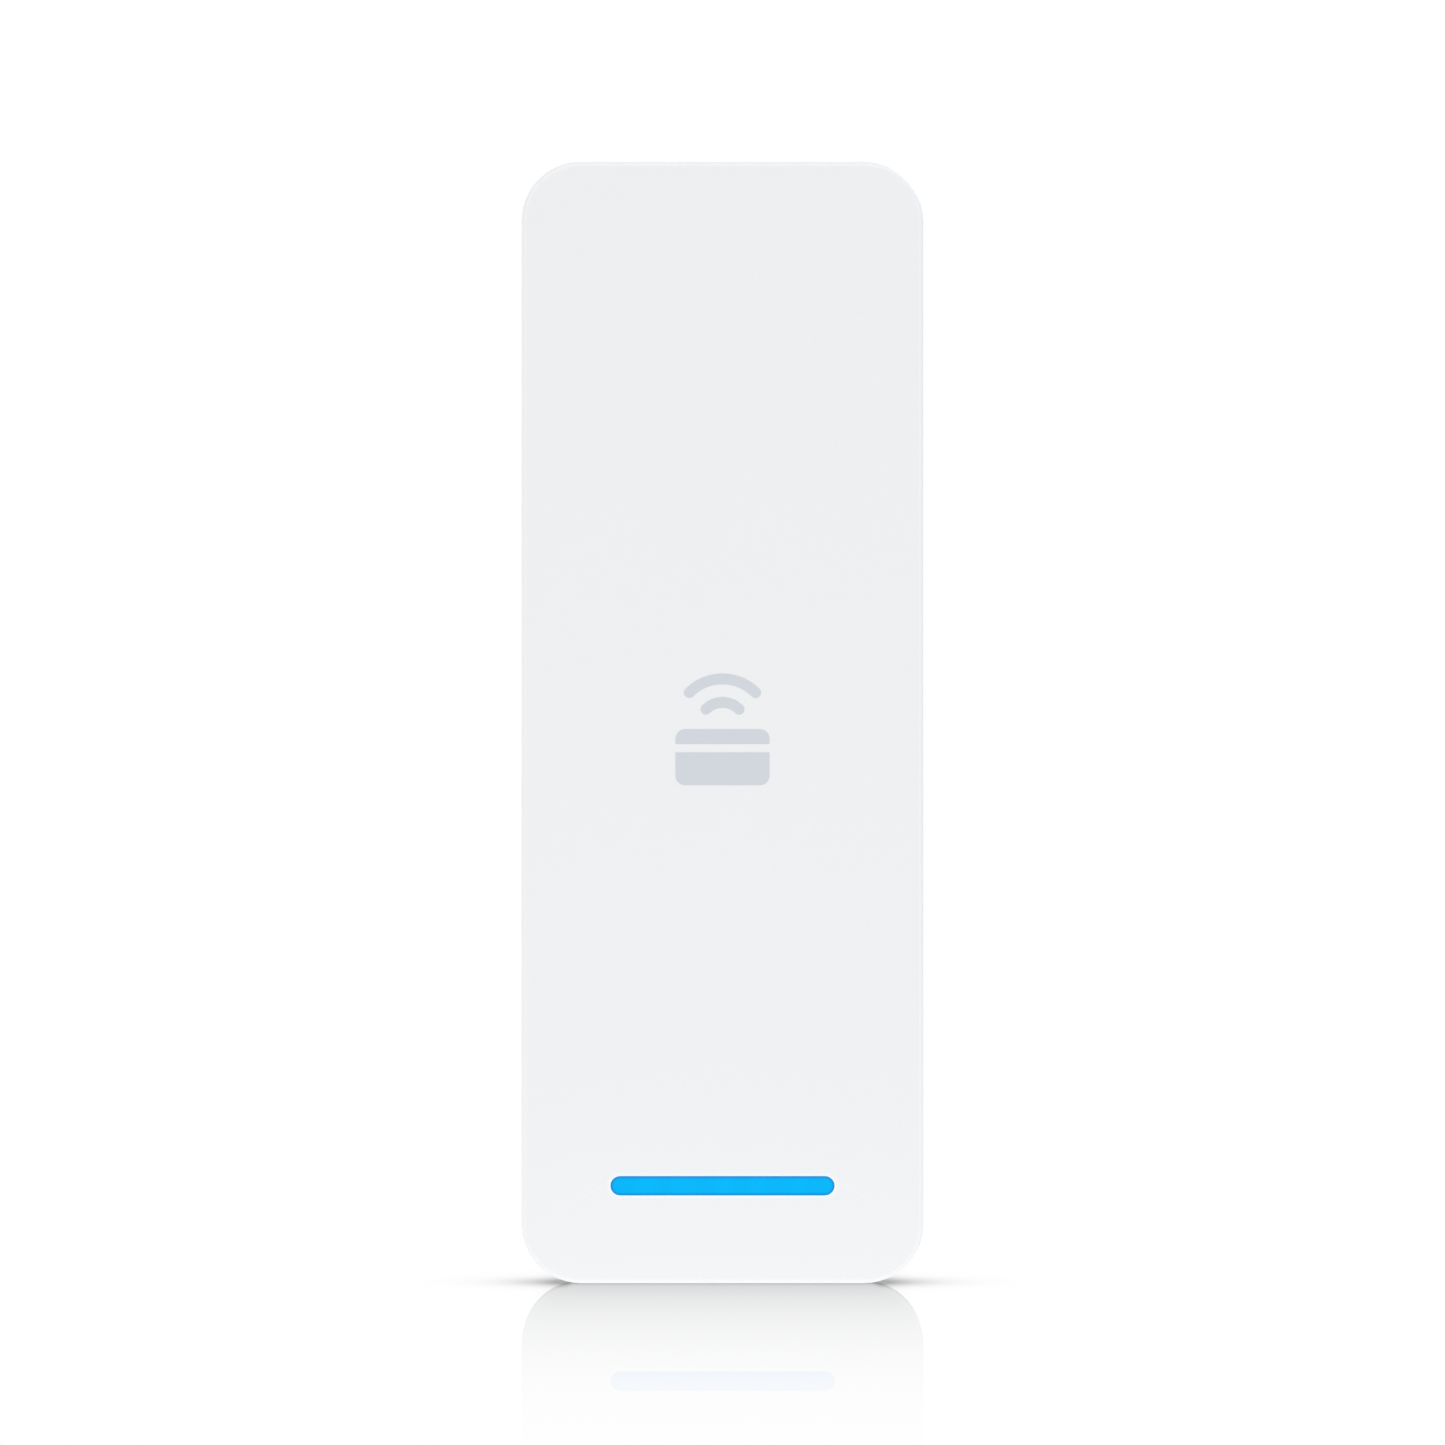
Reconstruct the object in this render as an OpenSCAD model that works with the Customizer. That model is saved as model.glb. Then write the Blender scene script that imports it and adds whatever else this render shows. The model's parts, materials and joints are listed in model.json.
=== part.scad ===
// Mullion-mount RFID card reader: a slim two-shell housing with a status light bar,
// hung on a steel wall bracket and locked from below by a captive security screw.
// Millimetres. +Z is up, the front face looks along -Y, and y = 0 is the wall.
// The origin is the centre of the bracket's rear face, on the reader's vertical midline.

/* [Body] */
// Width of the front cover
body_w = 42; // [42:0.5:46]
// Height of the front cover
body_h = 117.3; // [117.3:0.1:122]
// Depth from the wall to the front face
body_d = 24; // [24:0.1:26]
// Corner radius of the front outline
corner_r = 6.2; // [5.6:0.1:6.6]
// Rounding of the front edge
front_edge_r = 0.5; // [0.3:0.05:0.8]
// Rounding of the rear edge
rear_edge_r = 1.1; // [0.8:0.1:1.3]
// Side wall of the front cover
cover_wall = 2; // [1.8:0.1:2.1]
// Thickness of the front face
front_t = 2; // [1.8:0.1:2.1]
// How far the rear housing stands in from the front cover's outline
rear_inset = 1; // [0.9:0.05:1.1]

/* [Light bar] */
// Length of the visible light bar
bar_l = 23.4; // [20:0.1:23.4]
// Height of the visible light bar
bar_h = 2; // [1.6:0.1:2.4]
// Height of the light bar's centre above the bottom edge
bar_up = 10.2; // [10:0.1:11]

/* [Front mark] */
// Width and height of the printed card mark
mark_size = 11.7; // [9:0.1:13]
// Thickness of the printed ink
mark_t = 0.03; // [0.02:0.01:0.05]

/* [Wall bracket] */
// Sheet thickness of the bracket
plate_t = 1.5; // [1.4:0.1:1.6]
// Vertical distance between the two wall screws
wall_screw_span = 83.3; // [83.3:0.1:84]
// Width of each wall screw slot
wall_slot_w = 4.2; // [3.8:0.1:4.6]
// Length of each wall screw slot, end to end
wall_slot_l = 8; // [6:0.5:8]

/* [Terminals] */
// Radius of each wire entry
wire_r = 1.2; // [0.8:0.1:1.3]
// How far a release button presses in
button_travel = 1.1; // [0.6:0.1:1.1]

/* [Hidden] */
$fn = 64;
gap = 0.05;
press = 0.02;
root = 0.2;

// Depth stations, front to back.
y_front = -body_d;
y_cavity = y_front + front_t;
y_split = -10.5;
y_rim = -0.4;
y_recess = -2.7;
y_back_in = -4.2;
board_front = y_front + 5;
board_t = 1.6;
board_back = board_front + board_t;

// Height stations.
half_h = body_h / 2;
bar_z = bar_up - half_h;
mark_z = -0.7;

// Light bar stack.
lens_sink = 0.12;
lens_step = 0.3;
lens_flange = 0.75;
lens_rim = 1.2;
dam_reach = 2.1;
dam_r = 2.6;
dam_t = 0.7;
guide_stand = 0.7;
guide_reach = [0.3, 0.6];
guide_pin_r = 0.6;
guide_pin_in = 1;
guide_pin_len = 0.9;
led_well_r = 1.1;
bar_seal_in = [0.4, 0.7];
led_pitch = 4;
led_size = 1.6;
led_t = 0.55;

// Rear housing outline, its tongue and its bracket recess.
rear_w = body_w - 2 * rear_inset;
rear_h = body_h - 2 * rear_inset;
rear_r = corner_r - rear_inset;
tongue_w = body_w - 2 * cover_wall - 0.3;
tongue_h = body_h - 2 * cover_wall - 0.3;
tongue_r = corner_r - cover_wall - 0.15;
tongue_t = 1;
tongue_len = 2;
rim_t = 1.6;
seal_t = 0.5;
seal_w = 0.9;
seal_inset = 0.2;
rebate = seal_inset + seal_w + 0.05;

// Hanger pin, which the reader tilts about.
hinge_y = -4.5;
hinge_z = half_h - 7.65;
pin_r = 1.5;
pin_head_r = 1.9;
pin_half = 12.4;
seat_r = 1.55;
seat_half = 9.4;
tilt_max = 25;
ear_x = 10.2;
ear_t = 1.5;
ear_r = 2.6;
pocket_half = 13;
pocket_low = hinge_z - 6.6;
pocket_high = hinge_z + 4.2;
pocket_y = -8.4;
skin = 1.2;

// Housing screws, one near each corner.
screw_top = [16, half_h - 6.65];
screw_low = [15.2, -half_h + 6.35];
boss_r = 2.6;
boss_room = 0.2;
boss_end = y_split - 2.7;
web_end = boss_end - 2;
web_len = 3.6;
pilot_r = 1.15;
web_t = 1;
screw_r = 1.1;
screw_head_r = 2.1;
screw_head_t = 1.5;
screw_drive_r = 0.95;
screw_drive_t = 0.9;
screw_head_room = 0.25;
screw_seat = -4.6;
rib_h = 1.3;

// Wiring bay in the back of the rear housing.
bay_floor = board_back + 2;
bay_half = 16.4;
bay_top = -8;
bay_step = -46;
bay_low_half = 11.2;
bay_bottom = -half_h + 4.6;
bay_r = 0.6;
bay_back = y_recess - 0.7;
gasket_in = 0.1;
gasket_out = 0.9;

// Network jack, its mouth facing down into the bay.
jack_w = 16;
jack_x = -8.6;
jack_len = 21.5;
jack_back = -4.4;
jack_shell_t = 0.3;
plug_w = 11.9;
plug_y = [-15.5, -8.5];
latch_w = 6.4;
latch_y = -6;
plug_depth = 14;
contact_pitch = 1.016;
finger_y = -10;
finger_slot = [0.5, 7];
finger_up = 5;
comb_w = 0.64;
comb_low = 1.6;
contact_w = 0.4;
contact_t = 0.3;
contact_lift = [-0.6, 1.5];
contact_z = [2.2, 1.2];
jack_z = [bay_top, bay_top + jack_len];

// Terminal header and its pull-off plug.
pole_count = 4;
pole_pitch = 3.5;
term_x = 8.3;
term_w = pole_count * pole_pitch + 1.4;
term_body_y = [-15.2, -6.6];
term_nose_y = [-15.1, -9.9];
term_body_z = [bay_top - 13.5, bay_top - 0.2];
nose_top = bay_top + 9;
header_y = [board_back, -8.9];
header_z = [bay_top + 1.3, bay_top + 11.3];
wire_y = -13.2;
pin_w = 1;
pin_low = bay_top + 2.6;
header_wall = 0.7;
nose_in = 0.8;
socket_w = 1.2;
chamber_w = 1.8;
leaf_out = 0.75;
leaf_w = 1.4;
leaf_t = 0.2;
pole_groove = [0.4, 0.5];
clamp_z = [bay_top - 5.5, bay_top + 2];
button_w = 2.2;
button_len = 4.2;
button_z = bay_top - 9.6;
button_stand = 0.8;
button_inner = -10.2;
button_slot = [0.6, 0.4];
button_room = 0.08;

// Security screw, drawn backed out: it turns and climbs into the nut.
lock_y = -6.5;
lock_pitch = 0.5;
lock_turns = 5.5;
lock_travel = lock_pitch * lock_turns;
lock_r = 1.5;
lock_len = 5.3;
lock_head_r = 2.75;
lock_head_t = 1.8;
lock_tip = -half_h + 7.55;
lock_head_top = lock_tip - lock_len;
lock_drive_r = 1.5;
lock_drive_t = lock_head_t - 0.6;
lock_post_r = 0.45;
lock_seal_r = 2.5;
lock_seal_t = 0.8;
lock_room = [0.2, 0.15];
shoulder_z = lock_head_top + lock_travel + lock_seal_t;
lock_boss_r = 3.75;
lock_boss_top = shoulder_z + 1.2;
flange_z = lock_tip + 0.6;
flange_half = 6;
flange_reach = -11;
nut_t = 2;
nut_r = 3.1;
nut_neck_r = 2.08;

// Bracket plate.
plate_w = rear_w - 2 * rim_t - 1.6;
plate_top = hinge_z - 2;
plate_bottom = -half_h + 3.25;
plate_r = 2.4;
rib_t = 0.4;
rib_w = 1;
rib_in = 2.2;
rib_z = [-4, 32];
window_w = 26;
window_z = [-34.6, -9];
upper_window_w = 18;
upper_window_z = [14, 28];
window_r = 3;

// Tamper plunger, pressed in by the wall.
tamper_x = 6.5;
tamper_z = 36.5;
tamper_r = 1.5;
tamper_travel = 1.4;
tamper_tip = -0.1;
tamper_tip_len = 0.6;
tamper_tip_in = 0.35;
tamper_room = 0.1;
tamper_plate_room = 1.1;
tamper_guide_t = 1.4;
tamper_guide_y = -7.2;
tamper_floor = board_back + 0.9;
tamper_body = 5.6;
tamper_body_y = -11.2;
collar_r = 2;
collar_y = [board_back + 2.2, board_back + 2.9];
spring_wire = 0.25;
spring_r = 1.45;
spring_pitch = 0.6;

// Reset button, reached from the bay.
reset_x = 11;
reset_z = -38;
reset_side = 4.6;
reset_top = -14.6;
reset_r = 1.2;
reset_stand = 1.1;
reset_travel = 0.35;
reset_room = 0.08;
reset_leg = [0.58, 0.7, 0.3];

// Antenna stack behind the front face.
antenna_w = 35;
antenna_h = 82;
antenna_z = 6.5;
antenna_y = [y_cavity + 0.15, y_cavity + 0.9];
antenna_r = 2.5;
antenna_rib = [1.2, 3];
antenna_rib_z = [-26, -4, 18, 40];
antenna_rib_off = 0.75;
turns = 5;
turn_inset = 1.2;
turn_r = 2.4;
turn_open = 2;
link_x = 2.4;
trace_w = 0.8;
trace_pitch = 1.35;
trace_t = 0.07;
ferrite_y = [antenna_y[1] + 0.05, antenna_y[1] + 0.45];
frame_y = [ferrite_y[1] + 0.05, board_front - 0.05];
frame_r = 3.9;
frame_t = 1.9;
frame_bar_w = 1.6;
frame_room = [0.6, 0.9];
frame_bars = [49.3, 20, -20, -38.5, bar_z + 4.4];
feed_x = 2.6;
feed_barrel = [0.75, 0.9];
feed_pin_r = 0.4;
feed_z = antenna_z - antenna_h / 2 + 1.3;

// Board outline, and the clearance under soldered parts.
board_room = [1.6, 3.9];
board_r = 3;
solder = 0.05;

// Board parts: [x, z, width, height, thickness].
shield_part = [0, 6, 20, 18, 1.3];
processor_part = [0, 6, 11, 11, 0.9];
reader_part = [0, -14, 5, 5, 0.85];
memory_parts = [[-6, 27, 8, 5.2, 1], [5.5, 27, 8, 5.2, 1], [0, -27, 8, 5.2, 1]];
crystal_parts = [[-12.5, -12, 3.2, 2.5, 0.8], [13.2, 12, 3.2, 2.5, 0.8]];
network_part = [9, 10, 7, 7, 0.9];
transformer_part = [-8.2, 22.5, 13, 12, 8.8];
core_stand = 1;
capacitor_parts = [[4.6, 20, 8, 8, 9.6], [13.2, 20, 8, 8, 9.6]];
relay_part = [9.6, 29.2, 15, 7.2, 10];
inductor_part = [13.6, 38.6, 7, 7, 3.9];
buzzer_at = [-10.5, 36.5];
buzzer_r = 6;
buzzer_t = 6.5;
buzzer_wall = 0.7;
buzzer_mouth_r = 1.2;
sound_hole_r = 0.45;
sound_ring_r = 1.7;
membrane_r = 3.2;
membrane_t = 0.24;

// ---- Shared shapes ----

// Rounded rectangle, centred.
module rounded_rect(w, h, r) {
    square([w - 2 * r, h], center = true);
    square([w, h - 2 * r], center = true);
    for (sx = [-1, 1], sz = [-1, 1])
        translate([sx * (w / 2 - r), sz * (h / 2 - r)]) circle(r);
}

// Ring between two rounded rectangles.
module rounded_ring(w, h, r, t) {
    difference() {
        rounded_rect(w, h, r);
        rounded_rect(w - 2 * t, h - 2 * t, max(r - t, 0.2));
    }
}

// Bar with round ends, centred.
module stadium(l, w) {
    square([l - w, w], center = true);
    for (s = [-1, 1]) translate([s * (l - w) / 2, 0]) circle(w / 2);
}

// Extrudes an outline drawn in X and Z from y0 to y1.
module slab(y0, y1) {
    translate([0, y1, 0]) rotate([90, 0, 0]) linear_extrude(y1 - y0) children();
}

// Extrudes an outline drawn in Y and Z from x0 to x1.
module side_slab(x0, x1) {
    translate([x0, 0, 0]) rotate([90, 0, 90]) linear_extrude(x1 - x0) children();
}

module box(x, y, z) {
    translate([x[0], y[0], z[0]]) cube([x[1] - x[0], y[1] - y[0], z[1] - z[0]]);
}

module rod_x(r, x0, x1) {
    translate([x0, 0, 0]) rotate([0, 90, 0]) cylinder(r = r, h = x1 - x0);
}

module rod_y(r, y0, y1) {
    translate([0, y1, 0]) rotate([90, 0, 0]) cylinder(r = r, h = y1 - y0);
}

module rod_z(r, z0, z1) {
    translate([0, 0, z0]) cylinder(r = r, h = z1 - z0);
}

// Draws its children on the right and their mirror image on the left.
module both_sides() {
    children();
    mirror([1, 0, 0]) children();
}

module at_housing_screws() {
    both_sides() {
        translate([screw_top[0], 0, screw_top[1]]) children();
        translate([screw_low[0], 0, screw_low[1]]) children();
    }
}

// Six-lobed drive recess, drawn flat.
module star(r) {
    lobe_share = 0.28;
    lobe_r = lobe_share * r;
    circle(r - lobe_r);
    for (a = [0 : 60 : 300]) rotate(a) translate([r - lobe_r, 0]) circle(lobe_r);
}

// Half section of a slab with one rounded edge.
module edge_profile(reach, depth, edge) {
    square([reach - edge, depth]);
    square([reach, depth - edge]);
    translate([reach - edge, depth - edge]) circle(edge);
}

// Rounded rectangle slab from z = 0 to depth, with its upper edge rounded.
module edged_slab(w, h, r, depth, edge) {
    ix = w / 2 - r;
    iy = h / 2 - r;
    translate([-ix, -iy, 0]) cube([2 * ix, 2 * iy, depth]);
    for (k = [0 : 3]) {
        across = k % 2 == 0 ? ix : iy;
        along = k % 2 == 0 ? iy : ix;
        rotate([0, 0, 90 * k]) {
            translate([across, along, 0]) {
                rotate([90, 0, 0]) linear_extrude(2 * along) edge_profile(r, depth, edge);
                rotate_extrude(angle = 90) edge_profile(r, depth, edge);
            }
        }
    }
}

// ---- Wall bracket ----

module ear_outline() {
    translate([hinge_y, hinge_z]) circle(ear_r);
    polygon([
        [0, pocket_low + 2], [0, plate_top], [hinge_y + 1.9, hinge_z + 1.8],
        [hinge_y - 2.4, hinge_z - 1], [-plate_t - 1.2, pocket_low + 2]
    ]);
}

// Opening through the plate, from its lower to its upper edge.
module plate_window(w, z) {
    translate([0, 0, (z[0] + z[1]) / 2])
        slab(-plate_t - 1, 1) rounded_rect(w, z[1] - z[0], window_r);
}

module pin_hole() {
    translate([0, hinge_y, hinge_z]) rod_x(pin_r + press, 0, pin_half + 1);
}

module wall_bracket() {
    plate_mid = (plate_top + plate_bottom) / 2;
    color("#b9bcc0") difference() {
        union() {
            translate([0, 0, plate_mid]) slab(-plate_t, 0)
                rounded_rect(plate_w, plate_top - plate_bottom, plate_r);
            both_sides() {
                side_slab(ear_x, ear_x + ear_t) ear_outline();
                // Stiffening rib pressed along the long edge.
                translate([plate_w / 2 - rib_in, 0, 0])
                    box([-rib_w / 2, rib_w / 2], [-plate_t - rib_t, -plate_t], rib_z);
            }
            // Flange that takes the lock nut.
            box([-flange_half, flange_half], [flange_reach, 0], [flange_z, flange_z + plate_t]);
        }
        both_sides() pin_hole();
        for (s = [-1, 1]) translate([0, 0, s * wall_screw_span / 2])
            slab(-plate_t - 1, 1) rotate(90) stadium(wall_slot_l, wall_slot_w);
        plate_window(window_w, window_z);
        plate_window(upper_window_w, upper_window_z);
        translate([tamper_x, 0, tamper_z]) rod_y(tamper_r + tamper_plate_room, -plate_t - 1, 1);
        translate([0, lock_y, 0]) rod_z(nut_neck_r + press, flange_z - 1, flange_z + plate_t + 1);
    }
}

module hanger_pin() {
    color("#8f9296") translate([0, hinge_y, hinge_z]) {
        rod_x(pin_r, -pin_half, pin_half);
        both_sides() rod_x(pin_head_r, ear_x + ear_t + gap, pin_half);
    }
}

// Clinch nut: a round head above the flange and a neck pressed through it.
module lock_nut() {
    nut_base = flange_z + plate_t;
    color("#c9a659") translate([0, lock_y, 0]) difference() {
        union() {
            rod_z(nut_r, nut_base + press, nut_base + nut_t);
            rod_z(nut_neck_r, flange_z, nut_base + 1);
        }
        rod_z(lock_r + gap, flange_z - 1, nut_base + nut_t + 1);
    }
}

// ---- Housing ----

// Screw bosses with the webs that tie them to the nearest wall.
module cover_bosses() {
    base = y_cavity - root;
    at_housing_screws() rod_y(boss_r, base, boss_end);
    both_sides() {
        translate([screw_top[0], 0, screw_top[1]])
            box([0, web_len], [base, web_end], [-web_t / 2, web_t / 2]);
        translate([screw_low[0], 0, 0])
            box([-web_t / 2, web_t / 2], [base, web_end], [-half_h + cover_wall - root, screw_low[1]]);
    }
}

module front_cover() {
    color("#f1f2f4") difference() {
        union() {
            difference() {
                translate([0, y_split, 0]) rotate([90, 0, 0])
                    edged_slab(body_w, body_h, corner_r, y_split - y_front, front_edge_r);
                slab(y_cavity, y_split + 1)
                    rounded_rect(body_w - 2 * cover_wall, body_h - 2 * cover_wall, corner_r - cover_wall);
            }
            cover_bosses();
            // Light dam round the light bar's flange.
            translate([0, 0, bar_z]) slab(y_cavity - root, y_cavity + rib_h)
                rounded_ring(bar_l + 2 * dam_reach, bar_h + 2 * dam_reach, dam_r, dam_t);
            // Locating ribs for the antenna board.
            both_sides() for (z = antenna_rib_z) translate([antenna_w / 2 + antenna_rib_off, 0, z])
                slab(y_cavity - root, y_cavity + rib_h) square(antenna_rib, center = true);
        }
        at_housing_screws() rod_y(pilot_r, y_cavity + 1, boss_end + 1);
        translate([0, 0, bar_z]) slab(y_front - 1, y_cavity + 1) stadium(bar_l, bar_h);
    }
}

// Card with a stripe across it.
module card_outline() {
    card_w = mark_size * 0.84;
    card_h = mark_size * 0.5;
    card_r = mark_size * 0.085;
    stripe_z = mark_size * 0.08;
    stripe_h = mark_size * 0.075;
    difference() {
        rounded_rect(card_w, card_h, card_r);
        translate([0, stripe_z]) square([card_w, stripe_h], center = true);
    }
}

// One arc of a radio wave, open upwards, spanning 45 degrees each side.
module wave(r, t) {
    difference() {
        circle(r + t / 2);
        circle(r - t / 2);
        polygon([[0, 0], [-2 * r, 2 * r], [-2 * r, -2 * r], [2 * r, -2 * r], [2 * r, 2 * r]]);
    }
    for (a = [45, 135]) rotate(a) translate([r, 0]) circle(t / 2);
}

module front_mark() {
    card_z = -mark_size * 0.25;
    wave_z = mark_size * 0.03;
    wave_step = mark_size * 0.21;
    wave_t = mark_size * 0.095;
    color("#d0d5dd") translate([0, 0, mark_z]) slab(y_front - mark_t, y_front) {
        translate([0, card_z]) card_outline();
        translate([0, wave_z]) for (k = [1, 2]) wave(wave_step * k, wave_t);
    }
}

module light_bar() {
    color("#12b4ff") translate([0, 0, bar_z]) {
        slab(y_front + lens_sink, y_cavity + lens_step) stadium(bar_l - 2 * gap, bar_h - 2 * gap);
        slab(y_cavity + gap, y_cavity + lens_flange) stadium(bar_l + 2 * lens_rim, bar_h + 2 * lens_rim);
    }
}

module light_bar_seal() {
    seal_y = y_cavity + lens_flange + gap;
    color("#3a3c40") translate([0, 0, bar_z]) slab(seal_y, seal_y + seal_t) difference() {
        stadium(bar_l + 2 * lens_rim, bar_h + 2 * lens_rim);
        stadium(bar_l + 2 * bar_seal_in[0], bar_h + 2 * bar_seal_in[1]);
    }
}

// Clear guide that spreads the light, standing on the board on two pins.
module light_guide() {
    guide_back = board_front - guide_stand;
    color("#e9f4fb") translate([0, 0, bar_z]) difference() {
        union() {
            slab(y_cavity + lens_flange + gap, guide_back)
                stadium(bar_l + 2 * guide_reach[0], bar_h + 2 * guide_reach[1]);
            both_sides() translate([bar_l / 2 - guide_pin_in, 0, 0])
                rod_y(guide_pin_r, guide_back - gap, board_front + guide_pin_len);
        }
        for (k = [-2 : 2]) translate([k * led_pitch, 0, 0])
            rod_y(led_well_r, guide_back - root, board_front);
    }
}

module housing_seal() {
    color("#5b5e63") slab(y_split, y_split + seal_t)
        rounded_ring(rear_w - 2 * seal_inset, rear_h - 2 * seal_inset, rear_r - seal_inset, seal_w);
}

// Outline of the wiring bay, grown by a margin: wide above, narrow between the lower screws.
module bay_outline(margin) {
    r = bay_r + margin;
    low_top = bay_step + 3;
    translate([0, (bay_top + bay_step) / 2])
        rounded_rect(2 * (bay_half + margin), bay_top - bay_step + 2 * margin, r);
    translate([0, (low_top + bay_bottom) / 2])
        rounded_rect(2 * (bay_low_half + margin), low_top - bay_bottom + 2 * margin, r);
}

// Pocket for the bracket's ears and pin, grown by a margin.
module hanger_pocket(margin) {
    box([-pocket_half - margin, pocket_half + margin],
        [pocket_y - margin, y_recess + 1 - 2 * margin],
        [pocket_low - margin, pocket_high + margin]);
}

module seat_block() {
    box([-seat_half, seat_half], [pocket_y - 1, y_recess], [hinge_z, pocket_high + 1]);
}

module rear_shell() {
    difference() {
        union() {
            translate([0, y_split, 0]) rotate([-90, 0, 0])
                edged_slab(rear_w, rear_h, rear_r, y_rim - y_split, rear_edge_r);
            slab(y_split - tongue_len, y_split + 1) rounded_rect(tongue_w, tongue_h, tongue_r);
        }
        // Space for the electronics.
        slab(y_split - tongue_len - 1, y_back_in)
            rounded_rect(tongue_w - 2 * tongue_t, tongue_h - 2 * tongue_t, tongue_r - tongue_t);
        // Rebate for the housing seal.
        slab(y_split - 1, y_split + seal_t + 0.02) difference() {
            rounded_rect(rear_w + 4, rear_h + 4, rear_r + 2);
            rounded_rect(rear_w - 2 * rebate, rear_h - 2 * rebate, rear_r - rebate);
        }
        // Recess that takes the bracket.
        slab(y_recess, y_rim + 1)
            rounded_rect(rear_w - 2 * rim_t, rear_h - 2 * rim_t, rear_r - rim_t);
    }
}

// Bay box, hanger pocket, screw posts, plunger guide and lock boss stand inside the shell.
module rear_insides() {
    slab(bay_floor - skin, bay_back) bay_outline(skin);
    hanger_pocket(skin);
    at_housing_screws() rod_y(boss_r, boss_end + gap, y_back_in + 0.3);
    translate([tamper_x, 0, tamper_z]) rod_y(tamper_r + tamper_guide_t, tamper_guide_y, bay_back);
    translate([0, lock_y, 0]) rod_z(lock_boss_r, -rear_h / 2 + rebate + gap, lock_boss_top);
}

// Openings in the wiring bay's walls for the jack, the terminal plug and the reset switch.
module bay_openings() {
    room = 0.1;
    nose_room = 0.2;
    nose_half = term_w / 2 - 0.5;
    top_wall = [bay_top - room, bay_top + skin + 1];
    box([jack_x - jack_w / 2 - room, jack_x + jack_w / 2 + room],
        [bay_floor - skin - 1, jack_back + room], top_wall);
    box([term_x - nose_half, term_x + nose_half],
        [bay_floor - skin - 1, term_nose_y[1] + nose_room], top_wall);
    translate([reset_x, 0, reset_z]) slab(bay_floor - skin - 1, bay_floor + room)
        square(reset_side + 2 * nose_room, center = true);
}

module rear_housing() {
    color("#eceef0") difference() {
        union() {
            rear_shell();
            rear_insides();
        }
        difference() {
            slab(bay_floor, 1) bay_outline(0);
            translate([0, lock_y, 0]) rod_z(lock_boss_r, -half_h, lock_boss_top);
        }
        difference() {
            hanger_pocket(0);
            seat_block();
        }
        // Half-round seat that hangs on the pin.
        translate([0, hinge_y, hinge_z]) rod_x(seat_r, -pocket_half, pocket_half);
        at_housing_screws() {
            rod_y(screw_r + boss_room, boss_end - 1, y_recess + 1);
            rod_y(screw_head_r + screw_head_room, screw_seat, y_recess + 1);
        }
        translate([tamper_x, 0, tamper_z]) rod_y(tamper_r + tamper_room, tamper_guide_y - 1, 0);
        bay_openings();
        // Security screw: head tunnel below the shoulder, shank hole above it.
        translate([0, lock_y, 0]) {
            rod_z(lock_head_r + lock_room[0], -half_h, shoulder_z);
            rod_z(lock_r + lock_room[1], shoulder_z - 1, lock_boss_top + 1);
        }
        // Sound holes of the buzzer.
        translate([buzzer_at[0], 0, buzzer_at[1]]) for (a = [0 : 60 : 300])
            rotate([0, a, 0]) translate([sound_ring_r, 0, 0])
                rod_y(sound_hole_r, y_back_in - 1, y_recess + 1);
        // Bevel across the top of the back, which meets the wall at the tilt limit.
        translate([0, hinge_y, hinge_z]) rotate([tilt_max, 0, 0])
            translate([-body_w, -hinge_y, -body_d]) cube(2 * body_w);
    }
}

module bay_gasket() {
    color("#2d2f33") slab(y_recess + press, -plate_t - gap) difference() {
        bay_outline(gasket_out);
        bay_outline(gasket_in);
    }
}

module housing_screws() {
    head_top = screw_seat + screw_head_t;
    tip = board_front - 0.6;
    color("#aeb1b5") at_housing_screws() difference() {
        union() {
            rod_y(screw_head_r, screw_seat + gap, head_top);
            rod_y(screw_r, tip, screw_seat + 2 * gap);
        }
        slab(head_top - screw_drive_t, head_top + 1) star(screw_drive_r);
    }
}

module vent_membrane() {
    color("#f7f7f2") translate([buzzer_at[0], 0, buzzer_at[1]])
        rod_y(membrane_r, y_back_in - membrane_t, y_back_in - press / 2);
}

// ---- Antenna stack ----

module at_bosses_flat() {
    for (p = [screw_top, screw_low], s = [-1, 1]) translate([s * p[0], p[1]]) children();
}

// Plastic frame that spaces the main board from the antenna.
module board_frame() {
    w = body_w - 2 * cover_wall - frame_room[0];
    h = body_h - 2 * cover_wall - frame_room[1];
    notch = web_t + 0.4;
    notch_len = [5, 6];
    color("#24262a") slab(frame_y[0], frame_y[1]) difference() {
        union() {
            rounded_ring(w, h, frame_r, frame_t);
            intersection() {
                rounded_rect(w, h, frame_r);
                union() {
                    at_bosses_flat() circle(boss_r + frame_bar_w);
                    for (z = frame_bars) translate([0, z]) square([w, frame_bar_w], center = true);
                }
            }
        }
        at_bosses_flat() circle(boss_r + boss_room);
        // Notches for the webs of the bosses.
        for (s = [-1, 1]) {
            translate([s * (screw_top[0] + notch_len[0] / 2), screw_top[1]])
                square([notch_len[0], notch], center = true);
            translate([s * screw_low[0], screw_low[1] - notch_len[1] / 2])
                square([notch, notch_len[1]], center = true);
        }
    }
}

module antenna_board() {
    color("#1f5c3a") translate([0, 0, antenna_z]) slab(antenna_y[0], antenna_y[1])
        rounded_rect(antenna_w, antenna_h, antenna_r);
}

// One turn of the coil, open across the middle of its lower side.
module turn(k) {
    inset = turn_inset + k * trace_pitch;
    r = turn_r - 0.3 * k;
    difference() {
        rounded_ring(antenna_w - 2 * inset, antenna_h - 2 * inset, r, trace_w);
        translate([0, -antenna_h / 2 + inset]) square([2 * turn_open, 3 * trace_w], center = true);
    }
}

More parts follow.
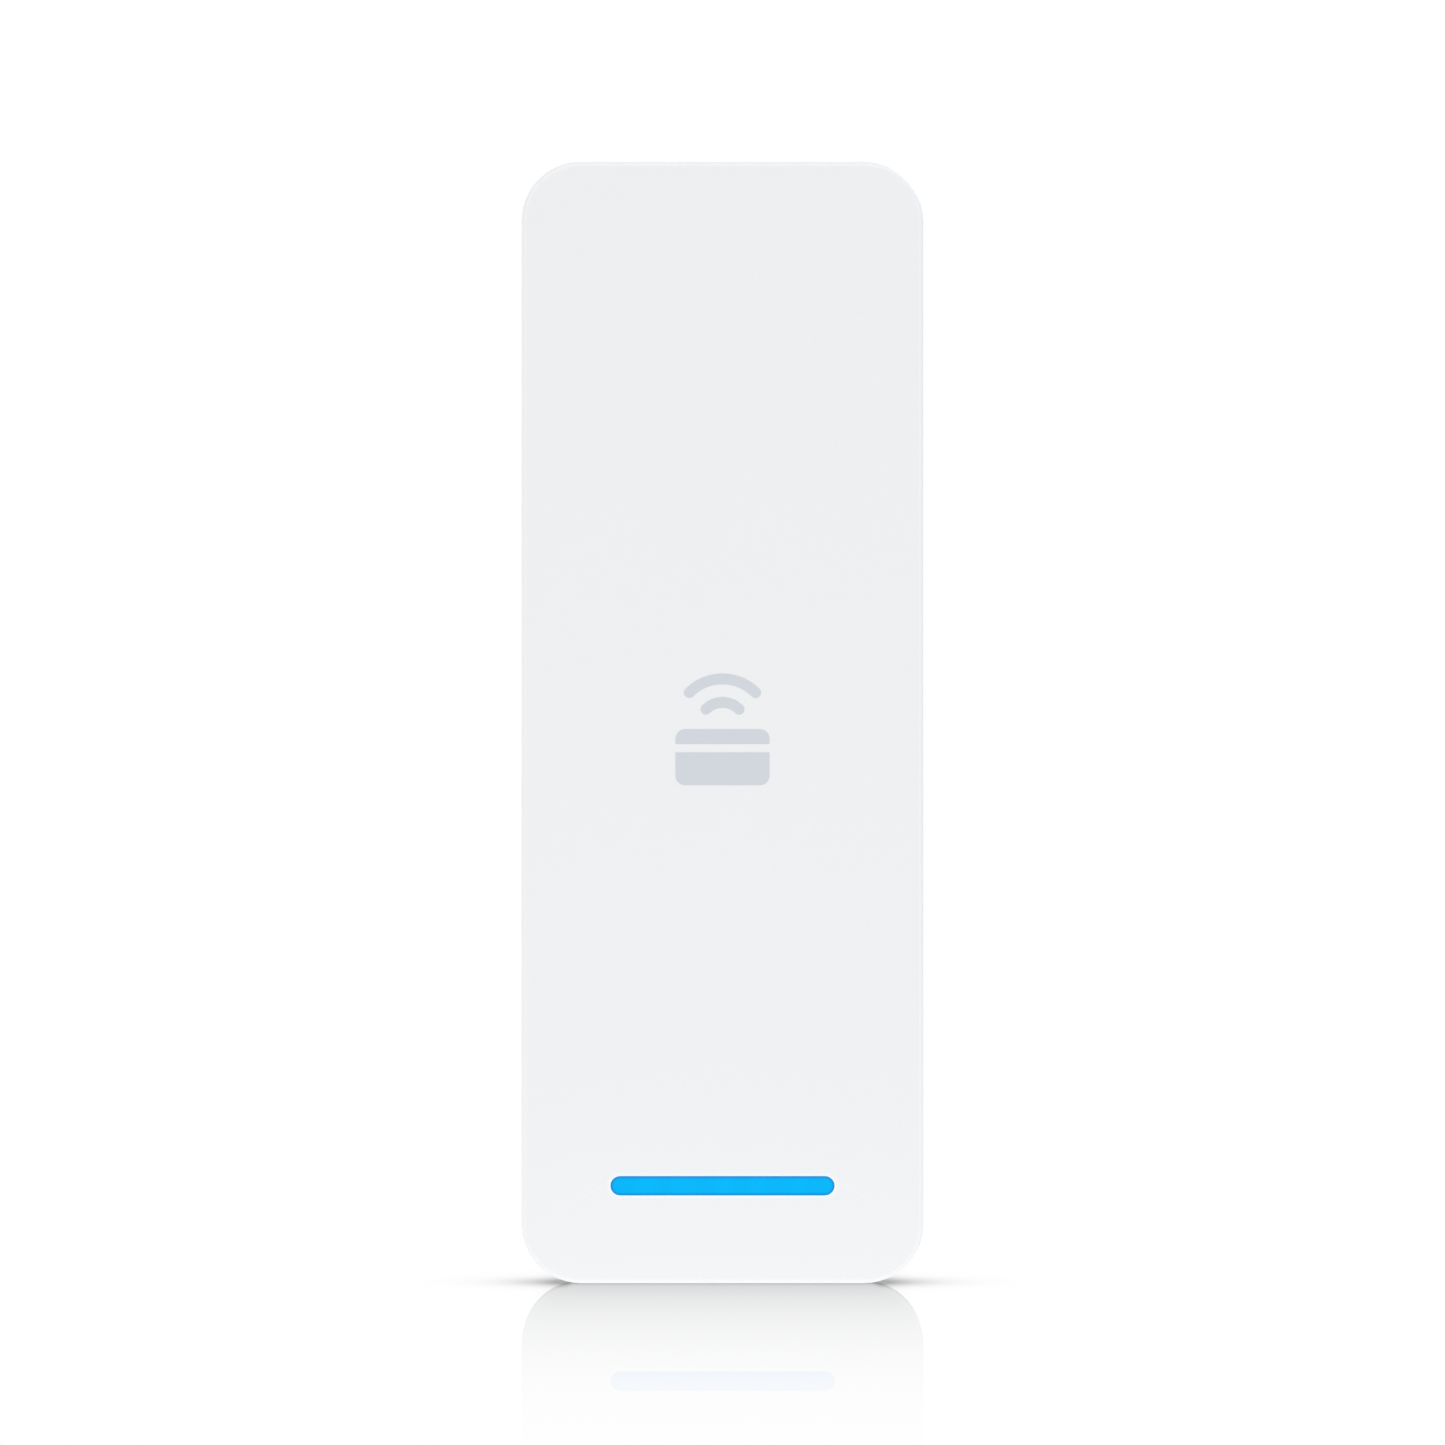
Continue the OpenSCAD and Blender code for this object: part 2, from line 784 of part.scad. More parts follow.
// Slanted link from one turn's right end to the next turn's left end.
module turn_link(k) {
    z0 = -antenna_h / 2 + turn_inset + k * trace_pitch;
    z1 = z0 + trace_pitch;
    polygon([
        [turn_open, z0], [link_x, z0], [link_x, z0 + trace_w], [turn_open, z0 + trace_w],
        [-turn_open, z1 + trace_w], [-link_x, z1 + trace_w], [-link_x, z1], [-turn_open, z1]
    ]);
}

module antenna_coil() {
    last = turn_inset + (turns - 1) * trace_pitch;
    outer_pad = [2, 1.6];
    inner_pad = [2, 2.4];
    color("#c98a3a") translate([0, 0, antenna_z]) slab(antenna_y[0] - trace_t, antenna_y[0]) {
        for (k = [0 : turns - 1]) turn(k);
        for (k = [0 : turns - 2]) turn_link(k);
        // Feed pads at the two free ends.
        translate([-feed_x, -antenna_h / 2 + outer_pad[1]]) square(outer_pad, center = true);
        translate([feed_x, -antenna_h / 2 + last + 1]) square(inner_pad, center = true);
    }
}

module ferrite_sheet() {
    margin = [0.8, 3];
    color("#33353a") translate([0, 0, antenna_z]) slab(ferrite_y[0], ferrite_y[1])
        rounded_rect(antenna_w - 2 * margin[0], antenna_h - 2 * margin[1], antenna_r - 1);
}

// Spring pins that carry the coil's signal to the main board.
module antenna_connector() {
    color("#d8b25a") both_sides() translate([feed_x, 0, feed_z]) {
        rod_y(feed_barrel[0], board_front - feed_barrel[1], board_front);
        rod_y(feed_pin_r, ferrite_y[0], board_front);
    }
}

// ---- Main board ----

module board_outline() {
    boss_hole_r = boss_r + 0.3;
    difference() {
        rounded_rect(
            body_w - 2 * cover_wall - board_room[0], body_h - 2 * cover_wall - board_room[1], board_r);
        at_bosses_flat() circle(boss_hole_r);
        for (s = [-1, 1]) {
            // The upper boss holes open out to the board's edge.
            translate([s * (screw_top[0] + 2), screw_top[1]]) square([4, 2 * boss_hole_r], center = true);
            translate([s * (bar_l / 2 - guide_pin_in), bar_z]) circle(guide_pin_r + 2 * gap);
        }
    }
}

module main_board() {
    color("#1c4f38") slab(board_front, board_back) board_outline();
}

module status_leds() {
    color("#f4f6da") for (k = [-2 : 2]) translate([led_pitch * k, 0, bar_z])
        slab(board_front - led_t, board_front) square(led_size, center = true);
}

// Moves to a part on the board's front or back side.
module at_part(p) {
    translate([p[0], 0, p[1]]) children();
}

// Chip body on the front side of the board, with its corners rounded.
module front_chip(p, r) {
    at_part(p) slab(board_front - p[4], board_front - solder) rounded_rect(p[2], p[3], r);
}

module processor_shield() {
    p = shield_part;
    wall = 0.15;
    color("#c7cacd") at_part(p) difference() {
        slab(board_front - p[4], board_front) rounded_rect(p[2], p[3], 1);
        slab(board_front - p[4] + wall, board_front + 1)
            rounded_rect(p[2] - 2 * wall, p[3] - 2 * wall, 1 - wall);
    }
}

module processor_chip() {
    color("#26282b") front_chip(processor_part, 0.3);
}

// Contactless radio chip with seven short leads on each side.
module reader_chip() {
    p = reader_part;
    lead = 0.3;
    lead_t = 0.2;
    lead_pitch = 0.6;
    color("#26282b") {
        front_chip(p, lead_t);
        at_part(p) for (a = [0 : 90 : 270], k = [-3 : 3]) rotate([0, a, 0])
            translate([p[2] / 2, 0, lead_pitch * k])
                slab(board_front - lead_t, board_front) square(lead, center = true);
    }
}

// Memory chips with four gull-wing leads along both long sides.
module memory_chips() {
    lead = [0.5, 1];
    lead_t = 0.4;
    lead_out = 0.3;
    lead_pitch = 1.6;
    color("#2a2c2f") for (p = memory_parts) {
        front_chip(p, lead_t / 2);
        at_part(p) for (s = [-1, 1], k = [-1.5 : 1.5])
            translate([lead_pitch * k, 0, s * (p[3] / 2 + lead_out)])
                slab(board_front - lead_t, board_front) square(lead, center = true);
    }
}

module clock_crystals() {
    color("#cfd2d4") for (p = crystal_parts) front_chip(p, 0.4);
}

module network_chip() {
    p = network_part;
    lead = [0.3, 0.32];
    lead_t = 0.25;
    lead_pitch = 0.7;
    color("#26282b") at_part(p) {
        slab(board_back + solder, board_back + p[4]) rounded_rect(p[2], p[3], 0.2);
        for (a = [0 : 90 : 270], k = [-4 : 4]) rotate([0, a, 0]) translate([p[2] / 2, 0, lead_pitch * k])
            slab(board_back, board_back + lead_t) square(lead, center = true);
    }
}

// Small resistors and capacitors: three rows at the top and a column beside the transformer.
module chip_components() {
    small = [1.6, 0.8, 0.6];
    large = [1, 2, 0.8];
    row_z = 45.4;
    row_step = [4.8, 2.8];
    column = [-16.2, 16.4];
    column_step = 3;
    color("#b79a6d") {
        for (row = [0 : 2], k = [-2 : 2]) translate([row_step[0] * k, 0, row_z + row_step[1] * row])
            slab(board_back, board_back + small[2]) square([small[0], small[1]], center = true);
        for (k = [0 : 4]) translate([column[0], 0, column[1] + column_step * k])
            slab(board_back, board_back + large[2]) square([large[0], large[1]], center = true);
    }
}

// Ferrite core: two bars and two end legs round the winding.
module transformer_core() {
    p = transformer_part;
    leg = [1.8, 2.4];
    color("#3b3d42") at_part(p) slab(board_back + core_stand, board_back + p[4]) difference() {
        square([p[2], p[3]], center = true);
        square([p[2] - 2 * leg[0], p[3] - 2 * leg[1]], center = true);
    }
}

module transformer_winding() {
    p = transformer_part;
    room = 0.6;
    color("#d9b23c") at_part(p) slab(board_back + core_stand + room, board_back + p[4] - room)
        rounded_rect(p[2] - 4, p[3] - 5.2, 2);
    color("#2a2b2e") at_part(p) slab(board_back, board_back + core_stand - press)
        rounded_rect(p[2], p[3], 0.5);
}

module bulk_capacitors() {
    base_t = 0.8;
    color("#c9ccd0") for (p = capacitor_parts) at_part(p) {
        slab(board_back, board_back + base_t) rounded_rect(p[2], p[3], 1);
        rod_y(p[2] / 2 - 0.1, board_back + base_t - root, board_back + p[4]);
    }
}

module power_inductor() {
    p = inductor_part;
    flange_t = 0.9;
    core_r = 2.2;
    color("#4a4c50") at_part(p) {
        slab(board_back, board_back + flange_t) rounded_rect(p[2], p[3], 1.2);
        rod_y(core_r, board_back + flange_t - root, board_back + p[4] - flange_t + root);
        slab(board_back + p[4] - flange_t, board_back + p[4]) rounded_rect(p[2], p[3], 3);
    }
}

module lock_relay() {
    p = relay_part;
    stand = 0.3;
    pin_x = [-5.6, -1.6, 2.4, 5.6];
    color("#2f6fb2") at_part(p) slab(board_back + stand, board_back + p[4]) rounded_rect(p[2], p[3], 0.5);
    color("#b8bbbe") at_part(p) for (x = pin_x) translate([x, 0, 0])
        rod_y(pin_w / 3, board_back, board_back + stand);
}

module buzzer_case() {
    color("#27292c") translate([buzzer_at[0], 0, buzzer_at[1]]) difference() {
        rod_y(buzzer_r, board_back, board_back + buzzer_t);
        rod_y(buzzer_r - buzzer_wall, board_back + 1, board_back + buzzer_t - buzzer_wall);
        rod_y(buzzer_mouth_r, board_back + buzzer_t - 1, board_back + buzzer_t + 1);
    }
}

// Brass sounding disc with its ceramic layer.
module buzzer_disc() {
    disc_y = board_back + 2;
    disc_t = 0.2;
    ceramic_r = 3.6;
    color("#d9b45b") translate([buzzer_at[0], 0, buzzer_at[1]]) {
        rod_y(buzzer_r - buzzer_wall - gap, disc_y, disc_y + disc_t);
        rod_y(ceramic_r, disc_y + disc_t - gap, disc_y + 2 * disc_t);
    }
}

// ---- Switches ----

module tamper_switch() {
    color("#2b2d30") translate([tamper_x, 0, tamper_z]) difference() {
        slab(board_back, tamper_body_y) square(tamper_body, center = true);
        rod_y(collar_r + tamper_room, tamper_floor, collar_y[1] + tamper_travel + gap);
        rod_y(tamper_r + tamper_room, tamper_floor, tamper_body_y + 1);
    }
}

// Rod with a collar inside the switch and a stepped tip against the wall.
module tamper_plunger() {
    step_y = tamper_tip - tamper_tip_len;
    color("#e8e9ea") translate([tamper_x, 0, tamper_z]) {
        rod_y(tamper_r, collar_y[0], step_y);
        rod_y(tamper_r - tamper_tip_in, step_y - root, tamper_tip);
        rod_y(collar_r, collar_y[0], collar_y[1]);
    }
}

// Spring under the plunger's collar, drawn as two stacked turns.
module tamper_spring() {
    color("#c5c8cb") translate([tamper_x, tamper_floor + gap, tamper_z]) rotate([-90, 0, 0])
        for (k = [0, 1]) translate([0, 0, spring_wire + gap + spring_pitch * k])
            rotate_extrude() translate([spring_r, 0]) circle(spring_wire);
}

module reset_switch() {
    color("#35373b") translate([reset_x, 0, reset_z]) difference() {
        slab(board_back, reset_top) square(reset_side, center = true);
        rod_y(reset_r + reset_room, board_back + 1, reset_top + 1);
    }
    // Solder legs.
    color("#c9ccd0") translate([reset_x, 0, reset_z]) both_sides() for (z = [-1.5, 1.5])
        translate([(reset_side + reset_leg[0] + press) / 2, 0, z])
            slab(board_back, board_back + reset_leg[2]) square([reset_leg[0], reset_leg[1]], center = true);
}

module reset_button() {
    color("#c23b34") translate([reset_x, 0, reset_z])
        rod_y(reset_r, board_back + 1 + reset_travel + gap, reset_top + reset_stand);
}

// ---- Network jack ----

// Cross-section of a network plug with its latch, drawn in X and Y.
module plug_section(grow) {
    translate([jack_x - plug_w / 2 - grow, plug_y[0] - grow])
        square([plug_w + 2 * grow, plug_y[1] - plug_y[0] + 2 * grow]);
    translate([jack_x - latch_w / 2 - grow, plug_y[1] - 1])
        square([latch_w + 2 * grow, latch_y - plug_y[1] + 1 + grow]);
}

module jack_shell() {
    color("#c4c7ca") difference() {
        box([jack_x - jack_w / 2, jack_x + jack_w / 2], [board_back + 2 * gap, jack_back], jack_z);
        box([jack_x - jack_w / 2 + jack_shell_t, jack_x + jack_w / 2 - jack_shell_t],
            [board_back - 1, jack_back - jack_shell_t], [jack_z[0] + jack_shell_t, jack_z[1] - jack_shell_t]);
        translate([0, 0, jack_z[0] - 1]) linear_extrude(3) plug_section(2 * gap);
        // Relief slots beside the shell's grounding fingers.
        for (s = [-1, 1], k = [-1, 1])
            translate([jack_x + s * jack_w / 2, finger_y + 2 * k, jack_z[0] + finger_up])
                cube([2, finger_slot[0], finger_slot[1]], center = true);
    }
}

module jack_insulator() {
    inner = jack_w / 2 - jack_shell_t - gap;
    color("#1f2124") difference() {
        box([jack_x - inner, jack_x + inner], [board_back, jack_back - jack_shell_t - gap],
            [jack_z[0] + jack_shell_t + gap, jack_z[1] - jack_shell_t - gap]);
        translate([0, 0, jack_z[0] - 1]) linear_extrude(plug_depth + 1) plug_section(0);
        // Comb slots that the contacts lie in.
        for (k = [-3.5 : 3.5]) translate([jack_x + contact_pitch * k, 0, 0])
            box([-comb_w / 2, comb_w / 2], [plug_y[0] - 1, plug_y[0] + gap],
                [jack_z[0] + comb_low, jack_z[0] + plug_depth]);
    }
}

// Eight spring wires that rise out of the comb towards the back of the cavity.
module jack_contacts() {
    t = contact_t;
    low = plug_y[0] + contact_lift[0];
    high = plug_y[0] + contact_lift[1];
    z0 = jack_z[0] + contact_z[0];
    z1 = jack_z[0] + plug_depth - contact_z[1];
    tail = 1.5;
    color("#d9ad3f") for (k = [-3.5 : 3.5]) {
        x = jack_x + contact_pitch * k;
        side_slab(x - contact_w / 2, x + contact_w / 2) polygon([
            [low, z0], [low + t, z0], [high, z1 - tail], [high, z1],
            [high - t, z1], [high - t, z1 - tail + 2 * gap], [low, z0 + tail / 3]
        ]);
    }
}

// ---- Terminals ----

function pole_x(k) = term_x + (k - (pole_count + 1) / 2) * pole_pitch;

module at_poles() {
    for (k = [1 : pole_count]) translate([pole_x(k), 0, 0]) children();
}

module terminal_header() {
    half = term_w / 2;
    color("#2f3236") difference() {
        box([term_x - half, term_x + half], header_y, header_z);
        box([term_x - half + header_wall, term_x + half - header_wall],
            [term_nose_y[0] - 2 * gap, term_nose_y[1] + 2 * gap], [header_z[0] - 1, nose_top + root]);
        at_poles() translate([0, wire_y, nose_top - 1]) linear_extrude(header_z[1] - nose_top + 2)
            square(pin_w + 2 * press, center = true);
    }
}

// Square pins that reach down into the plug and bend over to the board.
module header_pins() {
    bend_z = header_z[1] + gap;
    color("#cfd2d5") at_poles() {
        translate([0, wire_y, pin_low]) linear_extrude(bend_z + pin_w - pin_low)
            square(pin_w, center = true);
        box([-pin_w / 2, pin_w / 2], [board_back, wire_y + pin_w / 2], [bend_z, bend_z + pin_w]);
    }
}

module terminal_plug() {
    half = term_w / 2;
    well = button_w / 2 + button_room;
    well_len = button_len / 2 + button_room;
    cage = chamber_w / 2;
    socket = socket_w / 2;
    color("#3f8f5a") difference() {
        union() {
            box([term_x - half, term_x + half], term_body_y, term_body_z);
            box([term_x - half + nose_in, term_x + half - nose_in], term_nose_y,
                [term_body_z[1] - 1, nose_top]);
        }
        at_poles() {
            // Wire entry from below, clamp chamber, and the pin's socket from above.
            translate([0, wire_y, 0]) rod_z(wire_r, term_body_z[0] - 1, clamp_z[0] + root);
            box([-cage, cage], [wire_y - cage, wire_y + cage], clamp_z);
            box([-socket, socket], [wire_y - socket, wire_y + socket], [clamp_z[1] - root, nose_top + 1]);
            // Well of the release button.
            box([-well, well], [button_inner - button_travel - 2 * gap, 0],
                [button_z - well_len, button_z + well_len]);
        }
        // Grooves between the poles.
        for (k = [1 : pole_count - 1]) translate([pole_x(k) + pole_pitch / 2, 0, 0])
            box([-pole_groove[0] / 2, pole_groove[0] / 2], [term_body_y[1] - pole_groove[1], 0],
                [term_body_z[0] - 1, term_body_z[1] + 1]);
    }
}

// Leaf springs, a pair in each clamp chamber.
module plug_clamps() {
    color("#d3d6d9") at_poles() for (s = [-1, 1]) translate([0, wire_y + s * leaf_out, 0])
        box([-leaf_w / 2, leaf_w / 2], [-leaf_t / 2, leaf_t / 2], [clamp_z[0] + root, clamp_z[1] - root]);
}

module release_button(k) {
    face = term_body_y[1] + button_stand;
    color("#f08a24") translate([pole_x(k), 0, button_z]) difference() {
        slab(button_inner, face) square([button_w, button_len], center = true);
        // Driver slot across the button's face.
        slab(face - button_slot[1], face + 1) square([button_w + 1, button_slot[0]], center = true);
    }
}

// ---- Security screw ----

// Pan head with a six-lobed recess and a centre post left standing in it.
module security_screw() {
    head_base = lock_head_top - lock_head_t;
    color("#9da0a4") translate([0, lock_y, 0]) difference() {
        union() {
            rod_z(lock_head_r, head_base, lock_head_top);
            rod_z(lock_r, lock_head_top - root, lock_tip);
        }
        translate([0, 0, head_base - 1]) linear_extrude(lock_drive_t + 1) difference() {
            star(lock_drive_r);
            circle(lock_post_r);
        }
    }
}

module screw_seal() {
    color("#222326") translate([0, lock_y, lock_head_top + press]) difference() {
        rod_z(lock_seal_r, 0, lock_seal_t - 2 * press);
        rod_z(lock_r + gap, -1, lock_seal_t + 1);
    }
}

wall_bracket();
hanger_pin();
lock_nut();
front_cover();
front_mark();
light_bar();
light_guide();
light_bar_seal();
housing_seal();
rear_housing();
bay_gasket();
housing_screws();
vent_membrane();
board_frame();
antenna_board();
antenna_coil();
ferrite_sheet();
antenna_connector();
main_board();
status_leds();
processor_shield();
processor_chip();
reader_chip();
memory_chips();
clock_crystals();
network_chip();
chip_components();
transformer_core();
transformer_winding();
bulk_capacitors();
power_inductor();
lock_relay();
buzzer_case();
buzzer_disc();
tamper_switch();
reset_switch();
jack_shell();
jack_insulator();
jack_contacts();
terminal_header();
header_pins();
terminal_plug();
plug_clamps();
release_button(1);  // release_button_1
release_button(2);  // release_button_2
release_button(3);  // release_button_3
release_button(4);  // release_button_4
tamper_plunger();
tamper_spring();
reset_button();
security_screw();
screw_seal();
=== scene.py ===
"""Looks for the slim wall-mounted RFID card reader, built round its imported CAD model.

Blender's objects are in metres. Materials and shapes are worked out in millimetres, which MM converts.
"""

import json
import math

import bmesh
import bpy
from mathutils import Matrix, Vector


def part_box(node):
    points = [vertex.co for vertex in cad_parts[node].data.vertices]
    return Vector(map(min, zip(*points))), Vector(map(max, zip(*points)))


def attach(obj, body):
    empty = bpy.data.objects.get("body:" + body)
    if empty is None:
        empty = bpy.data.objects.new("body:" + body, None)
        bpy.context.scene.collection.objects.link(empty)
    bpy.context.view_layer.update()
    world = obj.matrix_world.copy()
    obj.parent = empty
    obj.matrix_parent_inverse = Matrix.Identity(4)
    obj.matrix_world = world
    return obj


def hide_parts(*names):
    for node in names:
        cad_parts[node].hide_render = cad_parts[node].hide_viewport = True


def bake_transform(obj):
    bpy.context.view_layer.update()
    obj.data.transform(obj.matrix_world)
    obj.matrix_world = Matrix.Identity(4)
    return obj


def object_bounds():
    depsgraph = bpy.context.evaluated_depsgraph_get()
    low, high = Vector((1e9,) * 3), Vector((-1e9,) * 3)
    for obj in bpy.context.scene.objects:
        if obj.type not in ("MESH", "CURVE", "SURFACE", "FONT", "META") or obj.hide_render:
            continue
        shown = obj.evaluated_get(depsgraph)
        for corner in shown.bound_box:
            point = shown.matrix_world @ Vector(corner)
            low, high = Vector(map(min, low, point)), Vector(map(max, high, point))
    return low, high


MM = 0.001

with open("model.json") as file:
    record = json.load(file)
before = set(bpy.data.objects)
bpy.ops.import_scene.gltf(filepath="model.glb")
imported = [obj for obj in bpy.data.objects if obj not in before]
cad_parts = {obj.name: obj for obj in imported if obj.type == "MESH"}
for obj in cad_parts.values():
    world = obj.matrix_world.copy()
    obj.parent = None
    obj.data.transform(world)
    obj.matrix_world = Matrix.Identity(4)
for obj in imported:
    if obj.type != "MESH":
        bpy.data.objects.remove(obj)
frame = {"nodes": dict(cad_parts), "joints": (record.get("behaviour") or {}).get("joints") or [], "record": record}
cad_low, cad_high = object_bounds()
nodes = frame["nodes"]
record = frame["record"]
body_of = {node: body for body, members in record["behaviour"]["bodies"].items() for node in members}
slot_of = {part["node"]: part["material_slot"] for part in record["subparts"]}
joint_at = {joint["name"]: Vector(joint["pos_m"]) for joint in frame["joints"] if "pos_m" in joint}


def box_mm(node):
    low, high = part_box(node)
    return low / MM, high / MM


def centre_mm(node):
    low, high = box_mm(node)
    return (low + high) / 2


# The light bar's opening. Its lens has a flange this much wider on every side.
LENS_FLANGE = 1.2
lens_low, lens_high = box_mm("light_bar")
BAR_LENGTH = lens_high.x - lens_low.x - 2 * LENS_FLANGE
BAR_HEIGHT = lens_high.z - lens_low.z - 2 * LENS_FLANGE
BAR_Z = (lens_low.z + lens_high.z) / 2
# The lamps behind it stand this far apart, and one stands in the middle.
LAMP_PITCH = 4.0


# ---------------------------------------------------------------- shader building

class Graph:
    """The shader of a new material or world, built by short calls. Positions are in millimetres."""

    def __init__(self, owner):
        self.owner = owner
        owner.use_nodes = True
        self.tree = owner.node_tree
        self.tree.nodes.clear()
        self.path = self.tree.nodes.new("ShaderNodeLightPath").outputs
        coords = self.tree.nodes.new("ShaderNodeTexCoord").outputs
        self.direction = coords["Generated"]
        self.place = self.vector("SCALE", coords["Object"], scale=1 / MM)
        geometry = self.tree.nodes.new("ShaderNodeNewGeometry").outputs
        self.world_place = self.vector("SCALE", geometry["Position"], scale=1 / MM)
        self.normal = geometry["Normal"]
        self.true_normal = geometry["True Normal"]
        self.incoming = geometry["Incoming"]

    def feed(self, socket, value):
        """Links a socket to another node's output, or sets its value."""
        if value is None:
            return
        if isinstance(value, bpy.types.NodeSocket):
            self.tree.links.new(value, socket)
        elif isinstance(value, (tuple, list)) and len(value) == 3 and socket.type == "RGBA":
            socket.default_value = (*value, 1.0)
        else:
            socket.default_value = value

    def math(self, kind, a, b=None, clamp=False):
        node = self.tree.nodes.new("ShaderNodeMath")
        node.operation = kind
        node.use_clamp = clamp
        self.feed(node.inputs[0], a)
        self.feed(node.inputs[1], b)
        return node.outputs[0]

    def add(self, a, b, clamp=False):
        return self.math("ADD", a, b, clamp)

    def less(self, a, b, clamp=False):
        return self.math("SUBTRACT", a, b, clamp)

    def times(self, a, b, clamp=False):
        return self.math("MULTIPLY", a, b, clamp)

    def over(self, a, b):
        return self.math("DIVIDE", a, b)

    def size(self, a, b):
        """Length of the vector (a, b)."""
        return self.math("SQRT", self.add(self.times(a, a), self.times(b, b)))

    def beyond(self, a, limit):
        """How far a stands outside the range from -limit to limit."""
        return self.math("MAXIMUM", self.less(self.math("ABSOLUTE", a), limit), 0.0)

    def fade(self, away, reach):
        """1 at no distance, falling by the factor e with every reach."""
        return self.math("EXPONENT", self.over(away, -reach))

    def bell(self, away, reach):
        """1 at no distance, falling slowly at first and then fast past reach."""
        ratio = self.over(away, reach)
        return self.math("EXPONENT", self.times(self.times(ratio, ratio), -1.0))

    def blend(self, share, a, b):
        """The number a where share is 0, b where it is 1."""
        return self.add(self.times(b, share), self.times(a, self.less(1.0, share)))

    def vector(self, kind, a, b=None, scale=None):
        node = self.tree.nodes.new("ShaderNodeVectorMath")
        node.operation = kind
        self.feed(node.inputs[0], a)
        self.feed(node.inputs[1], b)
        if kind == "SCALE":
            self.feed(node.inputs["Scale"], scale)
        return node.outputs["Value" if kind == "DOT_PRODUCT" else "Vector"]

    def split(self, vector):
        node = self.tree.nodes.new("ShaderNodeSeparateXYZ")
        self.feed(node.inputs[0], vector)
        return node.outputs

    def join(self, x, y, z):
        node = self.tree.nodes.new("ShaderNodeCombineXYZ")
        for socket, value in zip(node.inputs, (x, y, z)):
            self.feed(socket, value)
        return node.outputs[0]

    def stretched(self, x, y, z):
        return self.vector("MULTIPLY", self.place, (x, y, z))

    def noise(self, size, detail=2.0, rough=0.5, at=None, distortion=0.0):
        """Noise from 0 to 1, with features of about size."""
        node = self.tree.nodes.new("ShaderNodeTexNoise")
        self.feed(node.inputs["Vector"], at or self.place)
        node.inputs["Scale"].default_value = 1.0 / size
        node.inputs["Detail"].default_value = detail
        node.inputs["Roughness"].default_value = rough
        node.inputs["Distortion"].default_value = distortion
        return node.outputs["Fac"]

    def cells(self, size, feature="F1", at=None, spread=1.0, output="Distance"):
        """Distance to the middle or edge of scattered cells, or each cell's own random colour."""
        node = self.tree.nodes.new("ShaderNodeTexVoronoi")
        node.feature = feature
        self.feed(node.inputs["Vector"], at or self.place)
        node.inputs["Scale"].default_value = 1.0 / size
        node.inputs["Randomness"].default_value = spread
        return node.outputs[output]

    def band(self, value, low, high, to_low=0.0, to_high=1.0):
        """Smooth step from to_low, where value is low, to to_high, where it is high."""
        node = self.tree.nodes.new("ShaderNodeMapRange")
        node.interpolation_type = "SMOOTHSTEP"
        for socket, number in zip(node.inputs, (value, low, high, to_low, to_high)):
            self.feed(socket, number)
        return node.outputs[0]

    def mix(self, share, a, b):
        node = self.tree.nodes.new("ShaderNodeMix")
        node.data_type = "RGBA"
        colour_a, colour_b = [socket for socket in node.inputs if socket.type == "RGBA"]
        self.feed(node.inputs["Factor"], share)
        self.feed(colour_a, a)
        self.feed(colour_b, b)
        return next(socket for socket in node.outputs if socket.type == "RGBA")

    def bump(self, height, depth, strength=1.0, onto=None):
        node = self.tree.nodes.new("ShaderNodeBump")
        node.inputs["Distance"].default_value = depth * MM
        self.feed(node.inputs["Strength"], strength)
        self.feed(node.inputs["Height"], height)
        self.feed(node.inputs["Normal"], onto)
        return node.outputs[0]

    def edges(self, width):
        """1 along edges, 0 on the faces between them."""
        node = self.tree.nodes.new("ShaderNodeBevel")
        node.samples = 4
        node.inputs["Radius"].default_value = width * MM
        same = self.vector("DOT_PRODUCT", node.outputs[0], self.normal)
        return self.band(same, 0.995, 0.90)

    def shader(self, kind, **inputs):
        """A shader of one kind. An input's name has underscores for its spaces."""
        node = self.tree.nodes.new("ShaderNode" + kind)
        for name, value in inputs.items():
            self.feed(node.inputs[name.replace("_", " ")], value)
        return node.outputs[0]

    def surface(self, normal, **inputs):
        return self.shader("BsdfPrincipled", Normal=normal, **inputs)

    def finish(self, shader):
        kind = "World" if isinstance(self.owner, bpy.types.World) else "Material"
        out = self.tree.nodes.new("ShaderNodeOutput" + kind)
        self.tree.links.new(shader, out.inputs["Surface"])
        return self.owner


def material_graph(name):
    return Graph(bpy.data.materials.new(name))


def tone(colour, factor):
    return tuple(min(1.0, part * factor) for part in colour)


def srgb(*levels):
    """Linear colour of an 8-bit screen colour."""
    return tuple(((v / 255 + 0.055) / 1.055) ** 2.4 if v > 10 else v / 255 / 12.92 for v in levels)


# ---------------------------------------------------------------- materials

def turned_rim(g):
    """1 where a rounded edge turns away from the front, 0 on the flat face and on the sides. It places the painted
    edge highlight.
    """
    facing = g.times(g.split(g.normal)[1], -1.0)
    turned_away = g.math("SQRT", g.less(1.0, g.times(facing, facing), clamp=True))
    return g.times(turned_away, g.band(facing, 0.0, 0.35))


